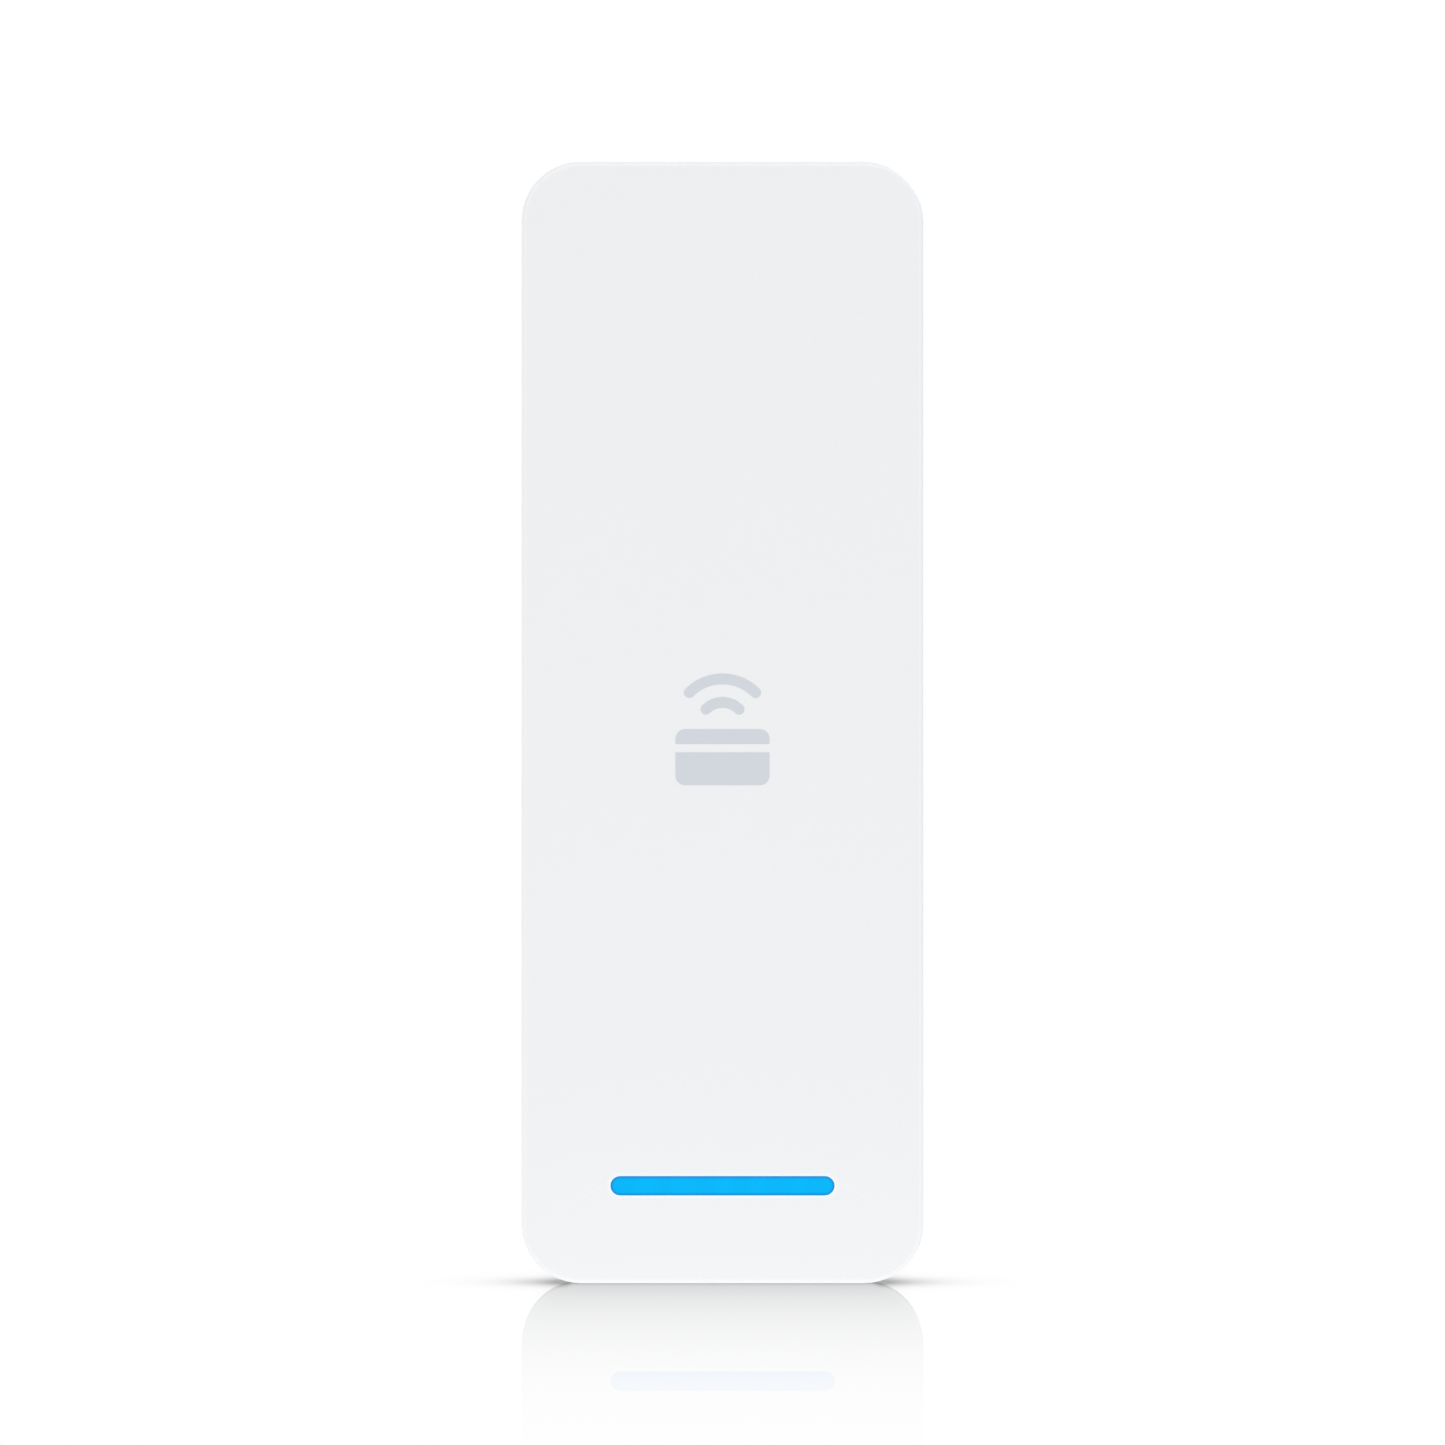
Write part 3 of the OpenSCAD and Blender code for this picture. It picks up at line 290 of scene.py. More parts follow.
def moulded(name, colour, rough, grain, depth, variation, edge, scuff=0.05, painted_glow=None, painted_edge_light=0.0):
    """Injection-moulded plastic: spark-eroded grain with painted shade in its pits, slow flow marks, rubbed edges
    and a few faint scuffs.
    It may have a painted glow, and a painted highlight may lighten its rounded front edges."""
    g = material_graph(name)
    flow = g.noise(26.0, 3.0, 0.55, at=g.stretched(1.0, 1.0, 0.45), distortion=0.6)
    speck = g.noise(2.1, 4.0, 0.6)
    rubbed = g.edges(0.18)
    pits = g.cells(grain, "SMOOTH_F1")
    dashes = g.noise(0.5, 2.0, 0.5, at=g.stretched(0.04, 0.04, 1.3), distortion=1.2)
    scuffs = g.band(dashes, 0.68, 0.78)
    base = g.mix(flow, tone(colour, 1 - variation), tone(colour, 1 + variation * 0.35))
    base = g.mix(g.times(speck, 0.3), base, tone(colour, 1 - variation * 0.7))
    base = g.mix(g.times(rubbed, 0.5), base, tone(colour, 1 + edge))
    # Painted shade: the colour is darkened in the grain's pits.
    base = g.mix(g.band(pits, 0.45, 0.15), base, tone(colour, 1 - variation * 1.5))
    roughness = g.add(rough, g.times(g.less(flow, 0.5), 0.10))
    roughness = g.less(roughness, g.times(rubbed, 0.10))
    roughness = g.add(roughness, g.times(scuffs, scuff), clamp=True)
    normal = g.bump(pits, depth, 0.9)
    normal = g.bump(g.noise(grain * 2.6, 3.0, 0.6), depth * 1.4, 0.8, onto=normal)
    # Painted highlight: the colour is lightened on the rounded front edges.
    if painted_edge_light:
        base = g.mix(turned_rim(g), base, tone(colour, 1 + painted_edge_light))
    lit = {}
    # Painted glow: emission on the plastic itself, which is no lamp.
    if painted_glow:
        lit["Emission_Color"], lit["Emission_Strength"] = painted_glow(g)
    return g.finish(g.surface(normal, Base_Color=base, Roughness=roughness, IOR=1.5, **lit))


def out_of_bar(g):
    """Distance from the light bar's middle line, which is half its height on its outline."""
    x, y, z = g.split(g.place)
    along = g.beyond(x, (BAR_LENGTH - BAR_HEIGHT) / 2)
    return g.size(along, g.less(z, BAR_Z))


def painted_bar_glow(g):
    """Colour and strength of a painted glow on the white plastic round the light bar, standing in for light that
    leaks into it.
    """
    x, y, z = g.split(g.place)
    near = g.band(g.less(out_of_bar(g), BAR_HEIGHT / 2), 0.0, 0.55, 1.0, 0.0)
    face = box_mm("front_cover")[0].y
    on_front = g.band(y, face + 1.5, face + 0.4)
    return srgb(120, 215, 255), g.times(g.times(near, on_front), 0.10)


def scratches(g, turn, width, length, rarity):
    """1 on slightly curved scratches, which lean by turn from Z. A higher rarity leaves fewer of them."""
    x, y, z = g.split(g.place)
    across = g.add(g.times(x, math.cos(turn) / width), g.times(z, math.sin(turn) / width))
    across = g.add(across, g.times(g.noise(9.0, 1.0, 0.4), 9.0))
    down = g.less(g.times(z, math.cos(turn) / length), g.times(x, math.sin(turn) / length))
    lines = g.noise(1.0, 1.0, 0.4, at=g.join(across, g.over(y, length), down))
    return g.band(lines, rarity, rarity + 0.05)


ROLLED_ALONG = {"x": (0.025, 1.0, 1.0), "z": (1.0, 1.0, 0.025)}
# Angle, width, length and rarity of each kind of scratch.
SCRATCH_KINDS = ((0.35, 0.10, 9.0, 0.690), (-0.7, 0.08, 7.0, 0.690), (1.2, 0.12, 12.0, 0.705))


def plated_sheet(name, colour, rough, along="z"):
    """Plated or rolled sheet metal: rolling lines, crystal tone, bright rubbed edges, handling scratches."""
    g = material_graph(name)
    rolled = g.noise(0.34, 5.0, 0.68, at=g.stretched(*ROLLED_ALONG[along]))
    crystal = g.split(g.cells(3.4, output="Color"))[0]
    cloud = g.noise(14.0, 4.0, 0.6, distortion=0.8)
    rubbed = g.edges(0.22)
    marks = 0.0
    for kind in SCRATCH_KINDS:
        marks = g.math("MAXIMUM", marks, scratches(g, *kind))
    base = g.mix(cloud, tone(colour, 0.82), tone(colour, 1.08))
    base = g.mix(g.times(crystal, 0.16), base, tone(colour, 1.25))
    base = g.mix(g.band(rolled, 0.35, 0.62, 0.45, 0.0), base, tone(colour, 0.66))
    base = g.mix(g.times(g.band(cloud, 0.55, 0.8), 0.18), base, (0.66, 0.68, 0.60))
    base = g.mix(g.times(marks, 0.35), base, tone(colour, 1.32))
    base = g.mix(g.times(rubbed, 0.6), base, tone(colour, 1.30))
    roughness = g.add(rough - 0.08, g.times(rolled, 0.22))
    roughness = g.add(roughness, g.times(cloud, 0.08))
    roughness = g.less(roughness, g.times(marks, 0.12))
    normal = g.bump(rolled, 0.012, 0.8)
    normal = g.bump(g.noise(0.9, 4.0, 0.6), 0.012, 0.4, onto=normal)
    normal = g.bump(marks, -0.006, 0.6, onto=normal)
    return g.finish(g.surface(normal, Base_Color=base, Metallic=1.0, Roughness=roughness))


def turned_metal(name, colour, axis, centre, rough, stain=None):
    """Turned or headed metal: rings round an axis through centre, oil film and rubbed edges."""
    g = material_graph(name)
    x, y, z = g.split(g.vector("SUBTRACT", g.place, tuple(centre)))
    side_a, side_b, along = {"x": (y, z, x), "y": (x, z, y), "z": (x, y, z)}[axis]
    rings = g.noise(0.10, 3.0, 0.6, at=g.join(g.size(side_a, side_b), along, 0.0))
    cloud = g.noise(1.8, 4.0, 0.6)
    base = g.mix(cloud, tone(colour, 0.86), tone(colour, 1.06))
    if stain:
        base = g.mix(g.times(g.band(cloud, 0.5, 0.75), 0.5), base, stain)
    base = g.mix(g.times(g.edges(0.10), 0.5), base, tone(colour, 1.35))
    roughness = g.add(rough, g.times(g.less(rings, 0.5), 0.22))
    normal = g.bump(rings, 0.006, 0.8)
    normal = g.bump(cloud, 0.004, 0.4, onto=normal)
    return g.finish(g.surface(normal, Base_Color=base, Metallic=1.0, Roughness=roughness))


def soft_seal(name, colour, foam):
    """Silicone, or closed-cell foam with open surface cells. Both hold a little pale dust."""
    g = material_graph(name)
    cloud = g.noise(5.0, 4.0, 0.6)
    dust = g.band(g.noise(0.35, 3.0, 0.7), 0.60, 0.78)
    base = g.mix(cloud, tone(colour, 0.8), tone(colour, 1.2))
    base = g.mix(g.times(dust, 0.18), base, (0.55, 0.55, 0.53))
    if foam:
        pores = g.cells(0.22, "SMOOTH_F1")
        normal = g.bump(pores, 0.05, 0.9)
        # Painted shade: the colour is darkened inside the pores.
        base = g.mix(g.band(pores, 0.35, 0.05), base, tone(colour, 0.35))
        roughness = g.add(0.82, g.times(cloud, 0.1))
    else:
        normal = g.bump(g.noise(0.25, 4.0, 0.6), 0.008, 0.6)
        roughness = g.add(0.48, g.times(cloud, 0.16))
    return g.finish(g.surface(normal, Base_Color=base, Roughness=roughness, Sheen_Weight=0.15))


def circuit_board(name, mask):
    """Solder mask over copper tracks, with vias, and bare glass-fibre laminate on the cut edges."""
    g = material_graph(name)
    x, y, z = g.split(g.place)
    flat = g.join(x, 0.0, z)
    tracks = g.cells(2.6, "DISTANCE_TO_EDGE", at=flat, spread=0.35)
    lane = g.band(tracks, 0.045, 0.075, 1.0, 0.0)
    pour = g.band(g.noise(9.0, 1.0, 0.4, at=flat), 0.50, 0.515)
    copper = g.math("MAXIMUM", lane, g.times(pour, 0.7))
    hole_middles = g.cells(3.1, at=flat, spread=0.9)
    via = g.band(hole_middles, 0.075, 0.095, 1.0, 0.0)
    ring = g.less(g.band(hole_middles, 0.12, 0.14, 1.0, 0.0), via, clamp=True)
    cloud = g.noise(12.0, 4.0, 0.6)
    face = g.mix(cloud, tone(mask, 0.82), tone(mask, 1.1))
    face = g.mix(g.times(copper, 0.55), face, tone(mask, 2.1))
    face = g.mix(ring, face, (0.72, 0.60, 0.30))
    # Painted shade: each via's hole is painted near black.
    face = g.mix(via, face, (0.02, 0.03, 0.02))
    weave = g.noise(0.25, 3.0, 0.6, at=g.stretched(1.0, 4.0, 1.0))
    laminate = g.mix(weave, (0.42, 0.36, 0.17), (0.60, 0.53, 0.30))
    across = g.math("ABSOLUTE", g.split(g.true_normal)[1])
    on_face = g.band(across, 0.5, 0.6)
    roughness = g.less(0.62, g.times(on_face, 0.36))
    roughness = g.add(roughness, g.times(cloud, 0.08))
    normal = g.bump(g.times(copper, on_face), 0.03, 0.7)
    normal = g.bump(weave, 0.01, 0.4, onto=normal)
    return g.finish(g.surface(normal, Base_Color=g.mix(on_face, laminate, face), Roughness=roughness,
                              Coat_Weight=0.3, Coat_Roughness=0.2))


def lit_lens(name, core, rim):
    """Diffusing lens lit from behind: bright core, a rim darkened as painted shade of its recessed edge, faint
    pools where the lamps sit.
    """
    g = material_graph(name)
    x, y, z = g.split(g.place)
    inside = g.less(BAR_HEIGHT / 2, out_of_bar(g))
    # Painted shade: the glow's colour darkens towards the rim.
    colour = g.mix(g.band(inside, 0.02, 0.42, 1.0, 0.0), core, rim)
    colour = g.mix(g.times(g.noise(1.4, 3.0, 0.5), 0.06), colour, srgb(60, 205, 255))
    pools = g.math("COSINE", g.times(x, 2 * math.pi / LAMP_PITCH))
    lit = g.times(g.add(0.985, g.times(pools, 0.015)), 0.97)
    normal = g.bump(g.noise(0.12, 3.0, 0.6), 0.003, 0.5)
    return g.finish(g.surface(normal, Base_Color=(0.0, 0.004, 0.008), Roughness=0.32,
                              Emission_Color=colour, Emission_Strength=lit, Specular_IOR_Level=0.03))


def clear_plastic(name, colour):
    """Moulded acrylic, a little frosted."""
    g = material_graph(name)
    cloud = g.noise(4.0, 3.0, 0.5)
    base = g.mix(cloud, tone(colour, 0.94), colour)
    roughness = g.add(0.10, g.times(cloud, 0.14))
    return g.finish(g.surface(g.bump(g.noise(0.2, 3.0, 0.6), 0.003, 0.4), Base_Color=base,
                              Roughness=roughness, Transmission_Weight=0.75, IOR=1.49))


def printed_ink(name, colour):
    """Pad-printed ink: a slightly uneven film."""
    g = material_graph(name)
    film = g.noise(0.5, 4.0, 0.65)
    base = g.mix(g.noise(4.0, 2.0, 0.5), tone(colour, 0.985), tone(colour, 1.015))
    base = g.mix(g.times(film, 0.10), base, tone(colour, 1.05))
    roughness = g.add(0.40, g.times(film, 0.12))
    return g.finish(g.surface(g.bump(film, 0.002, 0.6), Base_Color=base, Roughness=roughness))


def chip_package(name):
    """Black moulding compound."""
    g = material_graph(name)
    grain = g.noise(0.09, 4.0, 0.7)
    cloud = g.noise(2.5, 3.0, 0.5)
    base = g.mix(grain, (0.018, 0.019, 0.021), (0.036, 0.037, 0.040))
    base = g.mix(g.times(cloud, 0.3), base, (0.05, 0.05, 0.055))
    roughness = g.add(0.52, g.times(cloud, 0.14))
    return g.finish(g.surface(g.bump(grain, 0.01, 0.8), Base_Color=base, Roughness=roughness))


def drawn_can(name):
    """Bright drawn can with fine draw lines."""
    g = material_graph(name)
    draw = g.noise(0.12, 3.0, 0.6, at=g.stretched(2.0, 0.08, 2.0))
    base = g.mix(g.noise(2.4, 3.0, 0.5), (0.68, 0.69, 0.71), (0.82, 0.83, 0.85))
    roughness = g.add(0.16, g.times(draw, 0.22))
    return g.finish(g.surface(g.bump(draw, 0.004, 0.6), Base_Color=base, Metallic=1.0, Roughness=roughness))


def sintered(name, colour):
    """Ferrite: dark grain with bright specks."""
    g = material_graph(name)
    grain = g.noise(0.14, 4.0, 0.7)
    glint = g.band(g.cells(0.18), 0.06, 0.14, 1.0, 0.0)
    base = g.mix(grain, tone(colour, 0.6), tone(colour, 1.3))
    base = g.mix(g.times(glint, 0.35), base, (0.30, 0.30, 0.32))
    roughness = g.less(0.62, g.times(glint, 0.3))
    return g.finish(g.surface(g.bump(grain, 0.02, 0.7), Base_Color=base, Roughness=roughness))


def wound_tape(name, colour, lap=1.9, wire=0.34):
    """Polyester tape over a winding: overlapping edges and the wire's ribs beneath."""
    g = material_graph(name)
    x, y, z = g.split(g.place)
    laps = g.math("FRACT", g.over(y, lap))
    ribs = g.math("SINE", g.times(y, 2 * math.pi / wire))
    cloud = g.noise(1.6, 3.0, 0.6)
    base = g.mix(cloud, tone(colour, 0.85), tone(colour, 1.1))
    base = g.mix(g.times(g.band(laps, 0.0, 0.12, 1.0, 0.0), 0.45), base, tone(colour, 0.55))
    normal = g.bump(ribs, 0.02, 0.5)
    normal = g.bump(laps, 0.03, 0.8, onto=normal)
    roughness = g.add(0.22, g.times(cloud, 0.2))
    return g.finish(g.surface(normal, Base_Color=base, Roughness=roughness, Coat_Weight=0.4,
                              Coat_Roughness=0.15))


def ceramic_chips(name, colour):
    """Small ceramic parts: tan capacitors, and black resistors among them."""
    g = material_graph(name)
    grain = g.noise(0.12, 3.0, 0.6)
    kind = g.split(g.cells(4.8, output="Color"))[0]
    base = g.mix(grain, tone(colour, 0.8), tone(colour, 1.1))
    base = g.mix(g.band(kind, 0.45, 0.5), base, (0.03, 0.03, 0.035))
    roughness = g.add(0.38, g.times(grain, 0.2))
    return g.finish(g.surface(g.bump(grain, 0.008, 0.6), Base_Color=base, Roughness=roughness))


def fibre_membrane(name, colour):
    """Felted vent membrane."""
    g = material_graph(name)
    fibres = g.noise(0.10, 4.0, 0.7, at=g.stretched(1.0, 1.0, 0.25), distortion=3.0)
    base = g.mix(fibres, tone(colour, 0.82), tone(colour, 1.05))
    roughness = g.add(0.78, g.times(g.noise(1.2, 2.0, 0.5), 0.15))
    return g.finish(g.surface(g.bump(fibres, 0.02, 0.9), Base_Color=base, Roughness=roughness,
                              Sheen_Weight=0.3))


def lamp_package(name, colour):
    """White lamp bodies, each with a round yellow phosphor window."""
    g = material_graph(name)
    x, y, z = g.split(g.place)
    off_lamp = g.math("PINGPONG", g.add(x, 10 * LAMP_PITCH), LAMP_PITCH / 2)
    off_middle = g.less(z, centre_mm("status_leds").z)
    window = g.band(g.size(off_lamp, off_middle), 0.55, 0.62, 1.0, 0.0)
    grain = g.noise(0.1, 3.0, 0.6)
    base = g.mix(grain, tone(colour, 0.9), colour)
    base = g.mix(window, base, (0.85, 0.72, 0.12))
    roughness = g.less(0.5, g.times(window, 0.3))
    return g.finish(g.surface(g.bump(grain, 0.004, 0.5), Base_Color=base, Roughness=roughness))


def cover_plastic(name, colour):
    """The face's smooth white plastic, with a painted glow round the light bar and a painted highlight on its
    rounded front edges.
    """
    return moulded(name, colour, 0.46, 0.15, 0.0035, 0.006, 0.01, 0.02, painted_glow=painted_bar_glow, painted_edge_light=0.15)


# For each material slot: the function that makes its finish, then what that function takes after the name.
FINISHES = {
    # Sheet metal: colour, roughness, and the rolling direction where it isn't upright.
    "bracket_steel": (plated_sheet, (0.66, 0.67, 0.69), 0.34),
    "shield_tin": (plated_sheet, (0.70, 0.71, 0.72), 0.26, "x"),
    "coil_copper": (plated_sheet, (0.70, 0.40, 0.20), 0.30),
    "contact_gold": (plated_sheet, (0.80, 0.58, 0.24), 0.20),
    "pin_tin": (plated_sheet, (0.72, 0.73, 0.74), 0.22),
    # Turned metal: colour, axis, a point on the axis, roughness, and a stain's colour.
    "pin_steel": (turned_metal, (0.46, 0.46, 0.47), "x", joint_at["reader_tilt"] / MM, 0.24),
    "nut_metal": (turned_metal, (0.62, 0.50, 0.26), "z", centre_mm("lock_nut"), 0.30, (0.50, 0.42, 0.34)),
    "lock_steel": (turned_metal, (0.50, 0.50, 0.52), "z", centre_mm("security_screw"), 0.22),
    "screw_steel": (turned_metal, (0.58, 0.59, 0.61), "y", (0.0, 0.0, 0.0), 0.30),
    "disc_brass": (turned_metal, (0.72, 0.53, 0.22), "y", centre_mm("buzzer_disc"), 0.22),
    "can_aluminium": (drawn_can,),
    # Mouldings: colour, roughness, grain size, grain depth, colour variation, edge brightness, and scuffs.
    "cover_plastic": (cover_plastic, srgb(226.5, 227.8, 229.6)),
    "rear_plastic": (moulded, srgb(224, 226, 229), 0.52, 0.32, 0.030, 0.03, 0.02, 0.08),
    "frame_plastic": (moulded, (0.020, 0.021, 0.023), 0.46, 0.14, 0.008, 0.20, 0.90),
    "header_grey": (moulded, (0.030, 0.032, 0.035), 0.44, 0.14, 0.008, 0.20, 0.80),
    "plug_green": (moulded, (0.030, 0.185, 0.080), 0.40, 0.16, 0.008, 0.12, 0.40),
    "relay_blue": (moulded, (0.012, 0.085, 0.30), 0.30, 0.20, 0.006, 0.12, 0.50),
    "button_orange": (moulded, (0.80, 0.23, 0.018), 0.36, 0.14, 0.006, 0.08, 0.15),
    "button_red": (moulded, (0.50, 0.028, 0.022), 0.32, 0.14, 0.006, 0.10, 0.30),
    "plunger_white": (moulded, (0.74, 0.75, 0.76), 0.28, 0.30, 0.004, 0.04, 0.10),
    # Light bar and mark. The lens takes its core's colour and its rim's, the rim's being darker as painted shade
    # of the recessed edge.
    "lens_blue": (lit_lens, srgb(0, 186, 255), srgb(14, 150, 228)),
    "guide_clear": (clear_plastic, (0.90, 0.95, 0.98)),
    "led_white": (lamp_package, (0.82, 0.82, 0.80)),
    "mark_ink": (printed_ink, srgb(197.5, 202, 209.5)),
    # Seals: colour, and whether they are foam.
    "foam_dark": (soft_seal, (0.030, 0.031, 0.034), True),
    "seal_rubber": (soft_seal, (0.10, 0.105, 0.11), False),
    "vent_fabric": (fibre_membrane, (0.80, 0.80, 0.77)),
    # Electronics.
    "board_green": (circuit_board, (0.010, 0.085, 0.040)),
    "ferrite_grey": (sintered, (0.040, 0.041, 0.045)),
    "chip_black": (chip_package,),
    "ceramic_tan": (ceramic_chips, (0.42, 0.28, 0.15)),
    "winding_tape": (wound_tape, (0.62, 0.42, 0.05)),
}
finishes = {slot: maker(slot, *settings) for slot, (maker, *settings) in FINISHES.items()}

for node, part in nodes.items():
    part.data.materials.clear()
    part.data.materials.append(finishes[slot_of[node]])


# ---------------------------------------------------------------- rebuilt shapes

def add_piece(mesh, node, sharp, rides=True):
    """Puts a finished mesh in the scene in place of a CAD node, with the node's finish. It rides on the node's
    body, unless rides is false."""
    for polygon in mesh.polygons:
        polygon.use_smooth = True
    mesh.set_sharp_from_angle(angle=math.radians(sharp))
    mesh.materials.append(finishes[slot_of[node]])
    piece = bpy.data.objects.new(node + "_shape", mesh)
    bpy.context.scene.collection.objects.link(piece)
    weighted = piece.modifiers.new("weighted", "WEIGHTED_NORMAL")
    weighted.keep_sharp = True
    if rides:
        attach(piece, body_of[node])
    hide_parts(node)
    return piece


def mesh_from(bm, name):
    """Turns an edited bmesh into a mesh whose faces have at most four corners."""
    bmesh.ops.triangulate(bm, faces=[face for face in bm.faces if len(face.verts) > 4])
    mesh = bpy.data.meshes.new(name)
    bm.to_mesh(mesh)
    bm.free()
    return mesh


# A CAD edge that turns by more degrees than this is rounded.
HARD_EDGE = 32.0


def rounded_copy(node, width):
    """Stands for a CAD node: the same solid with its flat facets joined and its hard edges rounded."""
    bm = bmesh.new()
    bm.from_mesh(nodes[node].data)
    bmesh.ops.remove_doubles(bm, verts=bm.verts, dist=2e-6)
    bmesh.ops.dissolve_limit(bm, angle_limit=math.radians(0.4), verts=bm.verts, edges=bm.edges,
                             use_dissolve_boundaries=False)
    joining = [edge for edge in bm.edges if len(edge.link_faces) == 2]
    hard = [edge for edge in joining if edge.calc_face_angle(0.0) > math.radians(HARD_EDGE)]
    bmesh.ops.bevel(bm, geom=hard, offset=width * MM, offset_type="OFFSET", segments=2, profile=0.5,
                    affect="EDGES", clamp_overlap=False)
    add_piece(mesh_from(bm, node + "_shape"), node, HARD_EDGE)


def skin(name, *stacks):
    """Closed mesh over one or more stacks of loops. All loops of a stack have the same number of points.
    A stack is (loops, joined): joined closes the last loop onto the first, or else both ends are capped."""
    bm = bmesh.new()
    for loops, joined in stacks:
        rows = [[bm.verts.new(point * MM) for point in loop] for loop in loops]
        pairs = list(zip(rows, rows[1:]))
        if joined:
            pairs.append((rows[-1], rows[0]))
        for one, other in pairs:
            for k in range(len(one)):
                after = (k + 1) % len(one)
                bm.faces.new((one[k], one[after], other[after], other[k]))
        if not joined:
            bm.faces.new(rows[0])
            bm.faces.new(rows[-1])
    bmesh.ops.remove_doubles(bm, verts=bm.verts, dist=1e-7)
    bmesh.ops.dissolve_degenerate(bm, edges=bm.edges, dist=1e-8)
    bmesh.ops.recalc_face_normals(bm, faces=bm.faces)
    return mesh_from(bm, name + "_shape")


def turned(stations, place, axis, count=64):
    """Loops round an axis through place. A station is (radius, height), and either may be a function of the
    angle."""
    def point(radius, height, angle):
        out = radius(angle) if callable(radius) else radius
        up = height(angle) if callable(height) else height
        u = out * math.cos(angle)
        v = out * math.sin(angle)
        return Vector(place) + Vector({"x": (up, u, v), "y": (v, up, u), "z": (u, v, up)}[axis])

    angles = [2 * math.pi * k / count for k in range(count)]
    return [[point(radius, height, angle) for angle in angles] for radius, height in stations]


def arc(r0, h0, r1, h1, steps=5, radius_first=True):
    """Quarter-round stations from (r0, h0) to (r1, h1), setting off along the radius or the height."""
    stations = []
    for k in range(steps + 1):
        early = math.sin(math.pi / 2 * k / steps)
        late = 1 - math.cos(math.pi / 2 * k / steps)
        out, up = (early, late) if radius_first else (late, early)
        stations.append((r0 + (r1 - r0) * out, h0 + (h1 - h0) * up))
    return stations


def star(radius, grow=0.0):
    """Outline of a six-lobed drive, as a function of the angle."""
    return lambda angle: radius * (0.86 + 0.14 * math.cos(6 * angle)) + grow


def thread(major, depth, pitch, height):
    """Radius of a right-hand vee thread with flattened crests at one height, as a function of the angle."""
    def radius(angle):
        phase = (height / pitch - angle / (2 * math.pi)) % 1.0
        flank = min(1.0, max(0.0, 1.6 * abs(2 * phase - 1) - 0.3))
        return major - depth * flank
    return radius


def threaded(major, depth, pitch, low, high, per_turn=10, taper=0.35, inside=False):
    """Stations of a thread from low to high. It runs out over taper at both ends: down to the core on a
    screw, and open to the full width inside a nut."""
    def run_out(form, cut):
        if inside:
            return lambda angle: max(form(angle), major - depth * (1 - cut))
        return lambda angle: min(form(angle), major - depth * cut)

    rows = int((high - low) / pitch * per_turn)
    stations = []
    for k in range(rows + 1):
        height = low + (high - low) * k / rows
        cut = max(0.0, 1.0 - min(height - low, high - height) / taper)
        stations.append((run_out(thread(major, depth, pitch, height), cut), height))
    return stations


# The lock screw's thread. The nut has the same one with a little room, at the same phase, so the two mesh.
LOCK_RADIUS = 1.5
LOCK_DEPTH = 0.27
LOCK_PITCH = 0.5
LOCK_ROOM = 0.08


def security_screw():
    """Machine screw with a domed head, a six-lobed recess round a post, and a rolled thread."""
    low, high = box_mm("security_screw")
    middle = centre_mm("security_screw")
    head = (high.x - low.x) / 2
    drive = 1.5
    post = 0.45
    shank = LOCK_RADIUS
    face = low.z
    floor = face + 1.2
    neck = face + 1.8
    tip = high.z
    stations = [(0.0, face + 0.03), (post - 0.11, face + 0.03), (post - 0.03, face + 0.08)]
    stations += [(post, face + 0.2), (post, floor)]
    stations += [(star(drive * 0.93), floor), (star(drive * 0.985), floor - 0.06)]
    stations += [(star(drive), floor - 0.2), (star(drive), face + 0.12)]
    stations += [(star(drive, 0.10), face + 0.02), (drive + 0.35, face)]
    stations += arc(drive + 0.65, face, head, face + 0.6)
    stations += [(head, neck - 0.1), (head - 0.08, neck)]
    stations += [(shank + 0.18, neck), (shank - 0.05, neck + 0.14), (shank - 0.3, neck + 0.3)]
    stations += threaded(shank, LOCK_DEPTH, LOCK_PITCH, neck + 0.35, tip - 0.3)
    stations += [(shank - 0.45, tip), (0.0, tip)]
    loops = turned(stations, (middle.x, middle.y, 0), "z", 72)
    add_piece(skin("security_screw", (loops, False)), "security_screw", sharp=38)


def clinch_nut():
    """Self-clinching nut: chamfered barrel, serrated neck pressed through the flange, threaded bore."""
    low, high = box_mm("lock_nut")
    middle = centre_mm("lock_nut")
    barrel = (high.x - low.x) / 2
    neck = 2.08
    bore = LOCK_RADIUS + LOCK_ROOM
    flange_top = low.z + 1.5

    def teeth(angle):
        return neck - 0.045 + 0.045 * math.cos(28 * angle)

    outside = [(bore + 0.19, low.z), (neck - 0.14, low.z), (teeth, low.z + 0.12)]
    outside += [(teeth, flange_top - 0.02), (barrel - 0.12, flange_top + 0.02)]
    outside += [(barrel, flange_top + 0.14), (barrel, high.z - 0.3)]
    outside += arc(barrel, high.z - 0.3, barrel - 0.3, high.z, 4, radius_first=False)
    outside += [(bore + 0.21, high.z)]
    inside = threaded(bore, LOCK_DEPTH, LOCK_PITCH, low.z + 0.12, high.z - 0.12, inside=True)
    loops = turned(outside + inside[::-1], (middle.x, middle.y, 0), "z", 84)
    add_piece(skin("lock_nut", (loops, True)), "lock_nut", sharp=40)


def riveted_pin():
    """Hanger pin whose ends are spun over into low domed heads."""
    low, high = box_mm("hanger_pin")
    middle = centre_mm("hanger_pin")
    head = (high.z - low.z) / 2
    shank = 1.5
    end = high.x
    # Where the heads begin, just clear of the bracket's ears.
    seat = 11.75
    half = [(0.0, end - 0.16), (0.35, end - 0.14), (0.6, end - 0.05), (0.9, end)]
    half += arc(1.1, end, head, end - 0.42, 6)
    half += [(head, seat + 0.1), (head - 0.08, seat), (shank, seat)]
    stations = half + [(radius, -height) for radius, height in half[::-1]]
    loops = turned(stations, (0, middle.y, middle.z), "x")
    add_piece(skin("hanger_pin", (loops, False)), "hanger_pin", sharp=40)


